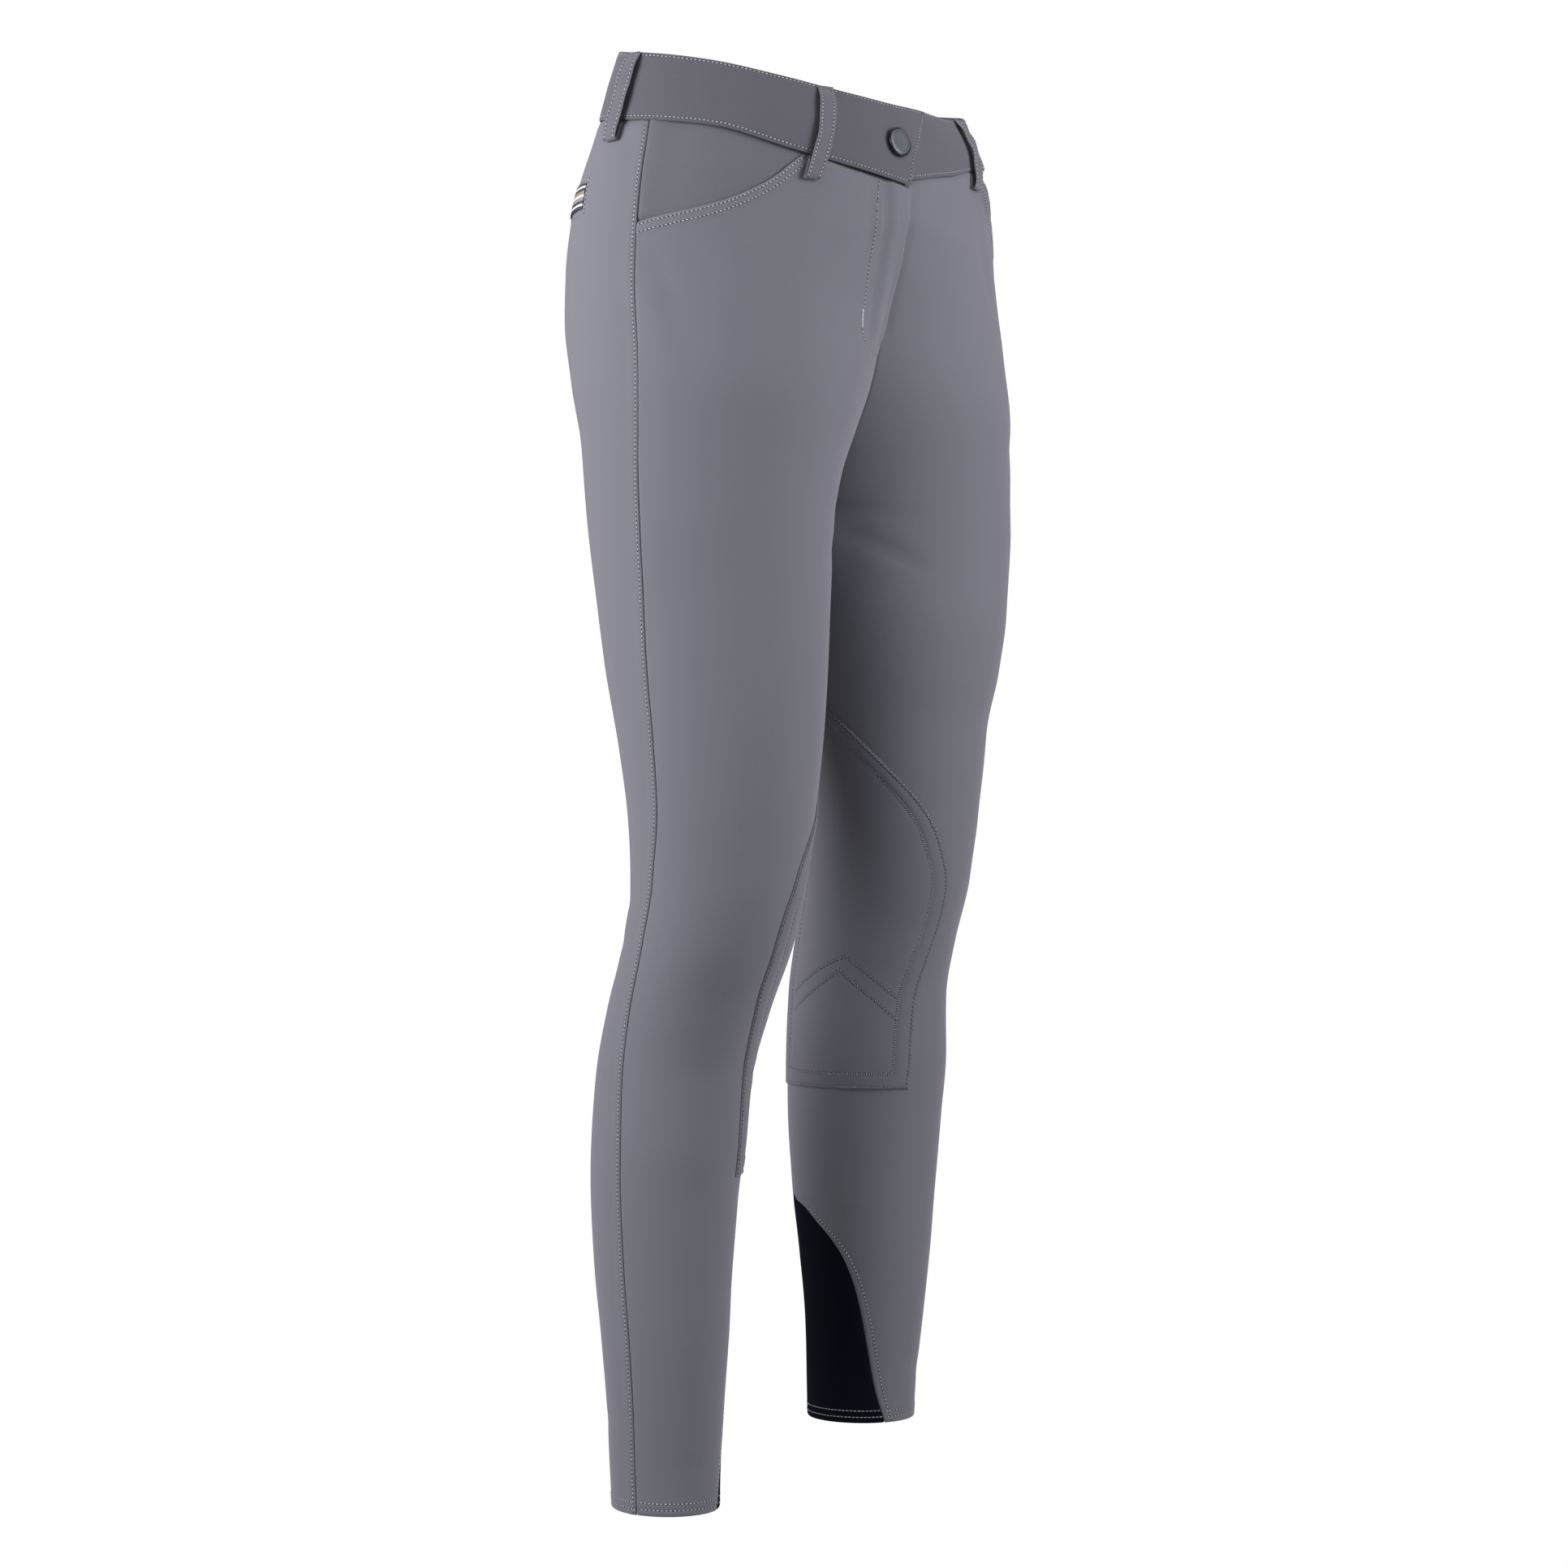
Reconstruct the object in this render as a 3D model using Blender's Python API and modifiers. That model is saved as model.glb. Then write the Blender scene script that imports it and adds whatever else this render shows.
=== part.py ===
"""Riding breeches, filled out as if worn, with nobody in them.

Metres, +Z up. The wearer faces -Y and their right leg is on -X. The origin is the middle of the waist, inside
the waistband, where the wearer holds the garment up; the legs reach down to negative Z.

Both halves come from one surface of the right half, read from two short tables: TORSO, closed rings round the
hips, and LEG, closed rings round one leg. A ring is walked by an angle: 0 at the outer side, 90 at the front,
180 at the inner leg and -90 at the back. COURSES blend one table into the other through the crotch.
"""
import math
from collections import namedtuple

import bmesh
import bpy
from mathutils import Matrix, Vector

# Driving dimensions.
CLOTH = 0.0013             # wall of the main cloth
BAND_CLOTH = 0.0024        # the waistband is the cloth doubled
STRAP_CLOTH = 0.0014       # belt loops
PATCH_CLOTH = 0.0010       # knee patches
TAPE_CLOTH = 0.0010        # woven tape of the back welts
SEAM_GAP = 0.0003          # between pieces that are sewn edge to edge
LAY_GAP = 0.0004           # under a piece that lies on a panel
BEARER_GAP = 0.0010        # between a pocket bearer and the front panel over it
PATCH_GAP = 0.0008         # under a knee patch, where the leg is hollow from top to bottom
BAND_GAP = 0.0008          # between a panel's top edge and the waistband
HEM_Z = -0.9380

# Closed rings round waist and hips, by height.
Torso = namedtuple("Torso", "z half_width front back")
TORSO = [
    Torso(0.036, 0.1470, 0.0760, 0.0500),
    Torso(0.015, 0.1520, 0.0865, 0.0620),
    Torso(-0.010, 0.1580, 0.0980, 0.0740),
    Torso(-0.035, 0.1640, 0.1060, 0.0880),
    Torso(-0.060, 0.1700, 0.1085, 0.1020),
    Torso(-0.085, 0.1735, 0.1080, 0.1115),
    Torso(-0.115, 0.1760, 0.1090, 0.1160),
    Torso(-0.150, 0.1775, 0.1125, 0.1160),
    Torso(-0.190, 0.1775, 0.1190, 0.1040),
    Torso(-0.230, 0.1755, 0.1210, 0.0880),
    Torso(-0.290, 0.1705, 0.1190, 0.0790),
]

# Closed rings round the right leg, by height: centre, half width, front and back depth, turn in degrees.
Leg = namedtuple("Leg", "z centre_x centre_y half_width front back turn")
LEG = [
    Leg(-0.080, -0.0860, -0.0020, 0.0870, 0.1080, 0.1120, 0.0),
    Leg(-0.190, -0.0890, -0.0040, 0.0880, 0.1010, 0.0880, 0.0),
    Leg(-0.235, -0.0885, -0.0060, 0.0860, 0.0900, 0.0750, 0.0),
    Leg(-0.290, -0.0885, -0.0100, 0.0820, 0.0820, 0.0740, 0.0),
    Leg(-0.330, -0.0885, -0.0125, 0.0775, 0.0790, 0.0720, 2.0),
    Leg(-0.380, -0.0890, -0.0165, 0.0725, 0.0750, 0.0690, 4.0),
    Leg(-0.430, -0.0900, -0.0215, 0.0660, 0.0690, 0.0640, 6.0),
    Leg(-0.475, -0.0910, -0.0240, 0.0600, 0.0630, 0.0610, 8.0),
    Leg(-0.520, -0.0915, -0.0215, 0.0553, 0.0590, 0.0588, 10.0),
    Leg(-0.560, -0.0920, -0.0125, 0.0528, 0.0578, 0.0580, 8.0),
    Leg(-0.605, -0.0925, 0.0050, 0.0500, 0.0555, 0.0562, 6.0),
    Leg(-0.650, -0.0930, 0.0180, 0.0480, 0.0540, 0.0556, 9.0),
    Leg(-0.690, -0.0935, 0.0220, 0.0478, 0.0540, 0.0565, 12.0),
    Leg(-0.735, -0.0940, 0.0253, 0.0458, 0.0517, 0.0548, 14.0),
    Leg(-0.780, -0.0945, 0.0258, 0.0428, 0.0488, 0.0508, 13.0),
    Leg(-0.825, -0.0948, 0.0242, 0.0398, 0.0448, 0.0458, 12.0),
    Leg(-0.870, -0.0950, 0.0238, 0.0366, 0.0408, 0.0408, 10.0),
    Leg(-0.910, -0.0950, 0.0240, 0.0348, 0.0378, 0.0378, 8.0),
    Leg(HEM_Z, -0.0950, 0.0235, 0.0338, 0.0368, 0.0363, 8.0),
]

# The left leg is the right one mirrored, eased at the knee: how far it is lifted, widened (as a share of the
# distance from the middle) and moved back.
Ease = namedtuple("Ease", "z lift widen back")
LEFT_EASE = [
    Ease(-0.120, 0.000, 0.000, 0.000),
    Ease(-0.160, 0.000, 0.000, 0.000),
    Ease(-0.200, 0.000, 0.015, 0.000),
    Ease(-0.270, 0.000, 0.050, 0.000),
    Ease(-0.310, 0.007, 0.055, 0.000),
    Ease(-0.360, 0.021, 0.038, -0.001),
    Ease(-0.410, 0.032, 0.015, 0.002),
    Ease(-0.460, 0.039, -0.015, 0.006),
    Ease(-0.530, 0.040, -0.010, 0.005),
    Ease(-0.600, 0.042, 0.030, -0.001),
    Ease(-0.660, 0.046, 0.050, -0.006),
    Ease(-0.720, 0.048, 0.065, -0.008),
    Ease(-0.760, 0.045, 0.065, -0.007),
    Ease(-0.800, 0.041, 0.060, -0.006),
    Ease(-0.870, 0.040, 0.055, -0.004),
    Ease(HEM_Z, 0.040, 0.045, -0.001),
]

# The left half's waistband sits lower in height at its front: how far each level moves there, and the share of
# that by angle round the waist.
Settle = namedtuple("Settle", "z lift")
LEFT_SETTLE = [
    Settle(-0.1300, 0.0000),
    Settle(-0.1050, 0.0030),
    Settle(-0.0800, 0.0075),
    Settle(-0.0620, 0.0098),
    Settle(-0.0445, 0.0088),
    Settle(-0.0145, 0.0000),
    Settle(0.0030, -0.0050),
    Settle(0.0360, -0.0050),
]
Share = namedtuple("Share", "angle share")
SETTLE_SHARE = [
    Share(0.0, 0.00), Share(20.0, 0.35), Share(40.0, 0.90), Share(52.0, 1.00), Share(64.0, 1.00),
    Share(72.0, 0.78), Share(80.0, 0.40), Share(85.0, 0.12), Share(90.0, 0.00),
]

# Courses of the panels from the hip down: height at the side seam and at the inner edge, and how much of the
# leg's ring is in the course, for the front and for the back panel.
Course = namedtuple("Course", "side_z inner_z front_leg back_leg")
COURSES = [
    Course(-0.107, -0.080, 0.00, 0.00),
    Course(-0.130, -0.110, 0.10, 0.02),
    Course(-0.153, -0.140, 0.22, 0.06),
    Course(-0.177, -0.170, 0.32, 0.15),
    Course(-0.200, -0.200, 0.44, 0.28),
    Course(-0.222, -0.225, 0.58, 0.45),
    Course(-0.245, -0.245, 0.74, 0.64),
    Course(-0.268, -0.258, 0.88, 0.84),
    Course(-0.290, -0.265, 1.00, 1.00),
    Course(-0.318, -0.300, 1.00, 1.00),
    Course(-0.350, -0.342, 1.00, 1.00),
]
LEG_LEVELS = [-0.385, -0.415, -0.446, -0.470, -0.492, -0.515, -0.540, -0.567, -0.595, -0.625, -0.655, -0.685,
              -0.715, -0.750, -0.786, -0.790, -0.794, -0.803, -0.813, -0.827, -0.845, -0.866, -0.890, -0.916, HEM_Z]
COURSES += [Course(z, z, 1.0, 1.0) for z in LEG_LEVELS]
TOP_STEPS = 2              # courses between a panel's top edge and the first of COURSES

# Waistband edges round the waist, by angle.
Edge = namedtuple("Edge", "angle top low")
BAND_EDGES = [
    Edge(-100.0, 0.0340, -0.0080),
    Edge(-90.0, 0.0340, -0.0080),
    Edge(-45.0, 0.0310, -0.0135),
    Edge(0.0, 0.0225, -0.0225),
    Edge(35.0, 0.0140, -0.0313),
    Edge(57.0, 0.0055, -0.0452),
    Edge(90.0, -0.0055, -0.0565),
    Edge(100.0, -0.0055, -0.0565),
]
# How far the right half's slanted end reaches past the centre front, by share of the band's height.
Lap = namedtuple("Lap", "share reach")
BAND_LAP = [Lap(0.0, -0.0012), Lap(0.26, 0.0022), Lap(0.58, 0.0115), Lap(1.0, 0.0285)]
BAND_UNDERLAP = 0.0120     # how far the left half reaches under it
BAND_RISE = BAND_CLOTH + LAY_GAP
BAND_STEP = (79.0, 82.0)   # angles between which the right half climbs on to the left

# Slant pocket mouth in the front panel, by angle.
Mouth = namedtuple("Mouth", "angle z")
POCKET_MOUTH = [
    Mouth(0.0, -0.0990),
    Mouth(8.0, -0.0965),
    Mouth(16.0, -0.0920),
    Mouth(30.0, -0.0855),
    Mouth(39.0, -0.0795),
    Mouth(47.0, -0.0705),
    Mouth(52.0, -0.0610),
    Mouth(57.0, -0.0440),
]
POCKET_UNDERLAP = 0.008

# Fly: the right front laps over the left as far down as this.
FLY_LAP = 0.0030
FLY_LAP_FOOT = 0.0010
FLY_LAP_Z = -0.100
FLY_FOOT_Z = -0.125
FLY_END_Z = -0.160
FLY_RISE = CLOTH + 2 * LAY_GAP
FLY_COLUMN = 0.985         # share of the panel's width where the lap begins

# Where the side seam and the inseam run round the rings; the inseam turns to the back of the leg.
Seam = namedtuple("Seam", "z angle")
SIDE_SEAM = [
    Seam(0.036, 13.4),
    Seam(-0.107, 13.4),
    Seam(-0.190, 14.5),
    Seam(-0.270, 13.0),
    Seam(-0.365, 8.0),
    Seam(-0.475, 1.0),
    Seam(-0.517, -5.0),
    Seam(-0.560, -8.0),
    Seam(-0.604, -4.5),
    Seam(-0.648, 0.0),
    Seam(-0.735, 5.3),
    Seam(-0.820, 8.0),
    Seam(HEM_Z, 11.0),
]
INSEAM = [
    Seam(-0.060, 180.0),
    Seam(-0.275, 180.0),
    Seam(-0.340, 192.0),
    Seam(-0.400, 212.0),
    Seam(-0.446, 226.0),
    Seam(-0.480, 228.0),
    Seam(HEM_Z, 228.0),
]

# Knee patch: front edge by height. Its back edge lies beside the inseam.
PatchEdge = namedtuple("PatchEdge", "z angle")
PATCH_EDGE = [
    PatchEdge(-0.4040, 212.0), PatchEdge(-0.4180, 201.5), PatchEdge(-0.4300, 191.5), PatchEdge(-0.4417, 181.0),
    PatchEdge(-0.4552, 168.0), PatchEdge(-0.4683, 157.0), PatchEdge(-0.4818, 145.2), PatchEdge(-0.4946, 133.5),
    PatchEdge(-0.5123, 118.5), PatchEdge(-0.5264, 109.5), PatchEdge(-0.5447, 101.0), PatchEdge(-0.5577, 95.8),
    PatchEdge(-0.5750, 93.3), PatchEdge(-0.5920, 93.0), PatchEdge(-0.6150, 96.5), PatchEdge(-0.6478, 103.0),
    PatchEdge(-0.6750, 105.5), PatchEdge(-0.7150, 107.5),
]
PATCH_LEVELS = [-0.414, -0.423, -0.432, -0.444, -0.458, -0.470, -0.481, -0.492, -0.503, -0.515, -0.528, -0.540,
                -0.554, -0.567, -0.581, -0.595, -0.610, -0.625, -0.655, -0.685, -0.715]
# The right patch's top is drawn up the leg: by how much, and between which levels that fades out.
PATCH_RISE = 0.025
PATCH_RISE_FROM, PATCH_RISE_TO = -0.640, -0.530
PATCH_BACK_MARGIN = 2.0    # degrees between patch and inseam

# Calf insert: its two long edges by height; it starts in a point at the inseam.
InsertEdge = namedtuple("InsertEdge", "z front back")
INSERT_EDGE = [
    InsertEdge(-0.786, 228.0, 228.0),
    InsertEdge(-0.790, 213.0, 230.5),
    InsertEdge(-0.794, 198.0, 233.0),
    InsertEdge(-0.803, 184.0, 237.0),
    InsertEdge(-0.813, 171.0, 241.0),
    InsertEdge(-0.827, 159.0, 246.0),
    InsertEdge(-0.845, 149.5, 251.0),
    InsertEdge(-0.866, 142.0, 256.0),
    InsertEdge(-0.890, 134.0, 261.0),
    InsertEdge(-0.916, 124.0, 266.0),
    InsertEdge(HEM_Z, 112.0, 270.0),
]
INSERT_TIP_Z = -0.7875
LEG_SEAM_GAP = 0.3         # degrees from a seam of the leg to the cloth on either side

# Belt loops: angle at the top and at the foot.
Loop = namedtuple("Loop", "name side top_angle foot_angle")
LOOPS = [
    Loop("loop_front_right", "right", 67.5, 61.3),
    Loop("loop_front_left", "left", 57.5, 61.5),
    Loop("loop_side_right", "right", 3.5, -1.0),
    Loop("loop_side_left", "left", 2.0, -3.0),
    Loop("loop_back", "right", -90.0, -90.0),
]
LOOP_WIDTH = 0.0120
LOOP_DROP = 0.0170         # how far a loop hangs below the waistband
LOOP_STAND = 0.0036        # clear space for a belt

# Button.
BUTTON_RADIUS = 0.0100
BUTTON_HEIGHT = 0.0032
BUTTON_ANGLE = 85.7
BUTTON_Z = -0.0325

# Back welt pocket.
WELT_ANGLES = (-13.5, -60.0)
WELT_Z = -0.0705
WELT_HEIGHT = 0.0170

MAIN_COLOUR = (0.165, 0.158, 0.185)
BEARER_COLOUR = (0.150, 0.145, 0.170)
INSERT_COLOUR = (0.006, 0.007, 0.014)
TAPE_COLOUR = (0.40, 0.40, 0.44)
BUTTON_COLOUR = (0.10, 0.12, 0.16)


def table_row(table, key):
    """A table's row at this key, on a smooth curve through its rows that never overshoots them."""
    rows = sorted(table)
    keys = [row[0] for row in rows]
    if key <= keys[0]:
        return rows[0]
    if key >= keys[-1]:
        return rows[-1]
    low = max(i for i, value in enumerate(keys) if value <= key)
    span = keys[low + 1] - keys[low]
    step = (key - keys[low]) / span
    values = [key]
    for column in range(1, len(rows[0])):
        points = [row[column] for row in rows]
        slopes = [(points[i + 1] - points[i]) / (keys[i + 1] - keys[i]) for i in range(len(keys) - 1)]

        def tangent(i):
            if i == 0:
                return slopes[0]
            if i == len(slopes):
                return slopes[-1]
            before, after = slopes[i - 1], slopes[i]
            if before * after <= 0:
                return 0.0
            return 2 * before * after / (before + after)

        rise = span * tangent(low)
        fall = span * tangent(low + 1)
        start, end = points[low], points[low + 1]
        values.append(start * (1 + 2 * step) * (1 - step) ** 2 + end * step ** 2 * (3 - 2 * step)
                      + rise * step * (1 - step) ** 2 - fall * step ** 2 * (1 - step))
    return type(rows[0])(*values)


def torso_point(angle, z):
    """A point of the right half's hip ring."""
    ring = table_row(TORSO, z)
    turn = math.radians(angle)
    depth = ring.front if math.sin(turn) >= 0 else ring.back
    return Vector((-ring.half_width * math.cos(turn), -depth * math.sin(turn), z))


def leg_point(angle, z):
    """A point of the right leg's ring."""
    ring = table_row(LEG, z)
    turn = math.radians(angle + ring.turn)
    depth = ring.front if math.sin(turn) >= 0 else ring.back
    across = -ring.half_width * math.cos(turn)
    along = -depth * math.sin(turn)
    twist = math.radians(ring.turn)
    return Vector((ring.centre_x + across * math.cos(twist) + along * math.sin(twist),
                   ring.centre_y - across * math.sin(twist) + along * math.cos(twist), z))


def panel_end(face, z):
    """The leg angle at which a front or back panel ends, at this height."""
    if z >= INSERT_EDGE[0].z:
        front_end = back_end = table_row(INSEAM, z).angle
    else:
        _z, front_end, back_end = table_row(INSERT_EDGE, z)
    return front_end - LEG_SEAM_GAP if face == "front" else back_end - 360 + LEG_SEAM_GAP


def panel_top(face, angle):
    """Height of a panel's top edge: under the waistband, or along the pocket mouth."""
    low = table_row(BAND_EDGES, angle).low - BAND_GAP
    if face == "front" and angle < POCKET_MOUTH[-1].angle:
        return min(low, table_row(POCKET_MOUTH, angle).z)
    return low


def course_row(place):
    """The course at this place down the panel, between two of COURSES if need be."""
    low = min(int(place), len(COURSES) - 2)
    share = place - low
    return Course(*[a + (b - a) * share for a, b in zip(COURSES[low], COURSES[low + 1])])


def hip_angle_at(face, width, seam):
    """The hip ring's angle at this share of a panel's width, from the side seam's angle."""
    return seam + width * ((90.0 if face == "front" else -90.0) - seam)


def panel_point(face, width, place):
    """A point of a right panel: width runs from 0 at the side seam to 1 at the inner edge."""
    if place < 0:
        hip_angle = hip_angle_at(face, width, SIDE_SEAM[0].angle)
        first = COURSES[0]
        foot_z = first.side_z + (first.inner_z - first.side_z) * width ** 2
        top_z = panel_top(face, hip_angle)
        return torso_point(hip_angle, foot_z + (top_z - foot_z) * -place / TOP_STEPS)
    course = course_row(place)
    z = course.side_z + (course.inner_z - course.side_z) * width ** 2
    share = course.front_leg if face == "front" else course.back_leg
    seam = table_row(SIDE_SEAM, course.side_z).angle
    hip = torso_point(hip_angle_at(face, width, seam), z)
    leg_angle = seam + width * (panel_end(face, z) - seam)
    return hip.lerp(leg_point(leg_angle, z), share)


def ring_normal(ring_point, angle, z):
    """The outward normal of a hip or leg ring."""
    along = ring_point(angle + 0.5, z) - ring_point(angle - 0.5, z)
    down = ring_point(angle, z - 0.002) - ring_point(angle, z + 0.002)
    return down.cross(along).normalized()


def panel_normal(face, width, place):
    """The outward normal of a panel, the same on both sides of every seam."""
    if place <= 0:
        point = panel_point(face, width, place)
        return ring_normal(torso_point, hip_angle_at(face, width, SIDE_SEAM[0].angle), point.z)
    other = "back" if face == "front" else "front"

    def at(w, p):
        return panel_point(face, w, p) if w >= 0 else panel_point(other, -w, p)

    side, step = 0.01, 0.05
    along = at(min(width + side, 1.0), place) - at(width - side, place)
    down = at(width, min(place + step, len(COURSES) - 1)) - at(width, place - step)
    normal = down.cross(along).normalized()
    return normal if face == "front" else -normal


def placed(side, point):
    """A point of the right half where it lies on the given side."""
    if side == "right":
        return point
    ease = table_row(LEFT_EASE, point.z)
    angle = math.degrees(math.atan2(-point.y / TORSO[4].front, -point.x / TORSO[4].half_width))
    settle = table_row(LEFT_SETTLE, point.z).lift * table_row(SETTLE_SHARE, angle).share
    return Vector((-point.x * (1 + ease.widen), point.y + ease.back, point.z + ease.lift + settle))


def closed_wall(name, side, inner, outer, material):
    """A wall between two grids of points, closed along its four edges."""
    rows, columns = len(inner), len(inner[0])
    mesh_data = bmesh.new()
    sheets = [[[mesh_data.verts.new(placed(side, point)) for point in line] for line in grid]
              for grid in (inner, outer)]

    def face(*corners):
        mesh_data.faces.new(corners)

    for r in range(rows - 1):
        for c in range(columns - 1):
            for sheet in sheets:
                face(sheet[r][c], sheet[r][c + 1], sheet[r + 1][c + 1], sheet[r + 1][c])
    near, far = sheets
    for r in range(rows - 1):
        for c in (0, columns - 1):
            face(near[r][c], near[r + 1][c], far[r + 1][c], far[r][c])
    for c in range(columns - 1):
        for r in (0, rows - 1):
            face(near[r][c], near[r][c + 1], far[r][c + 1], far[r][c])
    bmesh.ops.recalc_face_normals(mesh_data, faces=mesh_data.faces)
    add_object(name, mesh_data, material)


def add_object(name, mesh_data, material):
    """Puts a finished bmesh in the breeches' collection."""
    mesh = bpy.data.meshes.new(name)
    mesh_data.to_mesh(mesh)
    mesh_data.free()
    mesh.shade_smooth()
    mesh.set_sharp_from_angle(angle=math.radians(40))
    item = bpy.data.objects.new(name, mesh)
    item.data.materials.append(material)
    breeches.objects.link(item)


def finish(name, colour, roughness, metallic=0.0):
    """A plain Principled material."""
    material = bpy.data.materials.new(name)
    material.use_nodes = True
    shader = material.node_tree.nodes["Principled BSDF"]
    shader.inputs["Base Color"].default_value = (*colour, 1.0)
    shader.inputs["Roughness"].default_value = roughness
    shader.inputs["Metallic"].default_value = metallic
    return material


def spread(start, end, count):
    """Evenly spaced values, both ends included."""
    return [start + (end - start) * i / (count - 1) for i in range(count)]


def clear_of_middle(point_in, point_out, limit):
    """Moves a pair of wall points back so that neither crosses the plane between the halves."""
    excess = max(point_in.x, point_out.x) - limit
    if excess > 0:
        point_in.x -= excess
        point_out.x -= excess


def panel(side, face):
    """A front or back panel, from waistband to hem in one piece."""
    widths = spread(0.0, 0.925, 12) + [0.96, FLY_COLUMN, 1.0] if face == "front" else spread(0.0, 1.0, 14)
    widths[0] = 0.0015
    places = list(range(-TOP_STEPS, len(COURSES)))
    laps = side == "right" and face == "front"
    inner, outer = [], []
    for place in places:
        line_in, line_out = [], []
        for width in widths:
            point = panel_point(face, width, place)
            normal = panel_normal(face, width, place)
            rise = FLY_RISE if laps and width >= FLY_COLUMN and point.z > FLY_END_Z else 0.0
            point_in = point + normal * rise
            point_out = point + normal * (rise + CLOTH)
            if rise and width == 1.0 and point.z > FLY_FOOT_Z:
                reach = FLY_LAP if point.z > FLY_LAP_Z else FLY_LAP_FOOT
                point_in.x += reach
                point_out.x += reach
            else:
                clear_of_middle(point_in, point_out, -SEAM_GAP / 2)
            line_in.append(point_in)
            line_out.append(point_out)
        inner.append(line_in)
        outer.append(line_out)
    name = f"{face}_{side}"
    closed_wall(name, side, inner, outer, finish(name, MAIN_COLOUR, 0.8))


def laid_on(name, side, ring_point, lines, gap, thickness, material):
    """A piece whose wall lies on the panels: lines of (angle, z), moved out from the surface."""
    inner = [[ring_point(a, z) + ring_normal(ring_point, a, z) * gap for a, z in line] for line in lines]
    outer = [[ring_point(a, z) + ring_normal(ring_point, a, z) * (gap + thickness) for a, z in line]
             for line in lines]
    closed_wall(name, side, inner, outer, material)


def knee_patch(side):
    """The patch on the inner side of the knee, over the front panel."""
    lines = []
    for level in PATCH_LEVELS:
        share = min(max((level - PATCH_RISE_FROM) / (PATCH_RISE_TO - PATCH_RISE_FROM), 0.0), 1.0)
        z = level + (PATCH_RISE * share if side == "right" else 0.0)
        back = table_row(INSEAM, z).angle - PATCH_BACK_MARGIN
        lines.append([(angle, z) for angle in spread(table_row(PATCH_EDGE, level).angle, back, 13)])
    name = f"knee_patch_{side}"
    laid_on(name, side, leg_point, lines, CLOTH + PATCH_GAP, PATCH_CLOTH, finish(name, MAIN_COLOUR, 0.75))


def calf_insert(side):
    """The stretch insert between front and back panel on the inner side of the lower leg."""
    lines = []
    tip, after = INSERT_EDGE[0], INSERT_EDGE[1]
    share = (INSERT_TIP_Z - tip.z) / (after.z - tip.z)
    levels = [InsertEdge(INSERT_TIP_Z, *[a + (b - a) * share for a, b in zip(tip[1:], after[1:])])]
    levels += INSERT_EDGE[1:]
    for z, front, back in levels:
        lines.append([(angle, z) for angle in spread(front + LEG_SEAM_GAP, back - LEG_SEAM_GAP, 13)])
    name = f"calf_insert_{side}"
    laid_on(name, side, leg_point, lines, 0.0, CLOTH, finish(name, INSERT_COLOUR, 0.6))


def pocket_bearer(side):
    """The hip piece behind the slant pocket's mouth, just inside the front panel."""
    inset = BEARER_GAP + CLOTH
    columns = []
    for angle in spread(SIDE_SEAM[0].angle + 0.4, POCKET_MOUTH[-1].angle + 2.0, 10):
        top = table_row(BAND_EDGES, angle).low - BAND_GAP
        foot = min(table_row(POCKET_MOUTH, angle).z, top) - POCKET_UNDERLAP
        columns.append([(angle, z) for z in spread(top, foot, 4)])
    name = f"pocket_bearer_{side}"
    laid_on(name, side, torso_point, columns, -inset, CLOTH, finish(name, BEARER_COLOUR, 0.8))


def waistband(side):
    """Half of the waistband, from the centre back to the centre front, lapped right over left."""
    back_gap = math.degrees(SEAM_GAP / 2 / TORSO[2].half_width)
    inner, outer = [], []
    for share in spread(0.0, 1.0, 4):
        line_in, line_out = [], []
        reach = table_row(BAND_LAP, share).reach if side == "right" else BAND_UNDERLAP
        end = 90 + math.degrees(math.asin(reach / TORSO[2].half_width))
        angles = spread(-90 + back_gap, BAND_STEP[0], 24) + spread(BAND_STEP[1], end, 4)
        for angle in angles:
            edges = table_row(BAND_EDGES, angle)
            z = edges.low + (edges.top - edges.low) * share
            normal = ring_normal(torso_point, angle, z)
            rise = BAND_RISE if side == "right" and angle >= BAND_STEP[1] else 0.0
            line_in.append(torso_point(angle, z) + normal * rise)
            line_out.append(torso_point(angle, z) + normal * (rise + BAND_CLOTH))
        inner.append(line_in)
        outer.append(line_out)
    name = f"waistband_{side}"
    closed_wall(name, side, inner, outer, finish(name, MAIN_COLOUR, 0.8))


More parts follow.
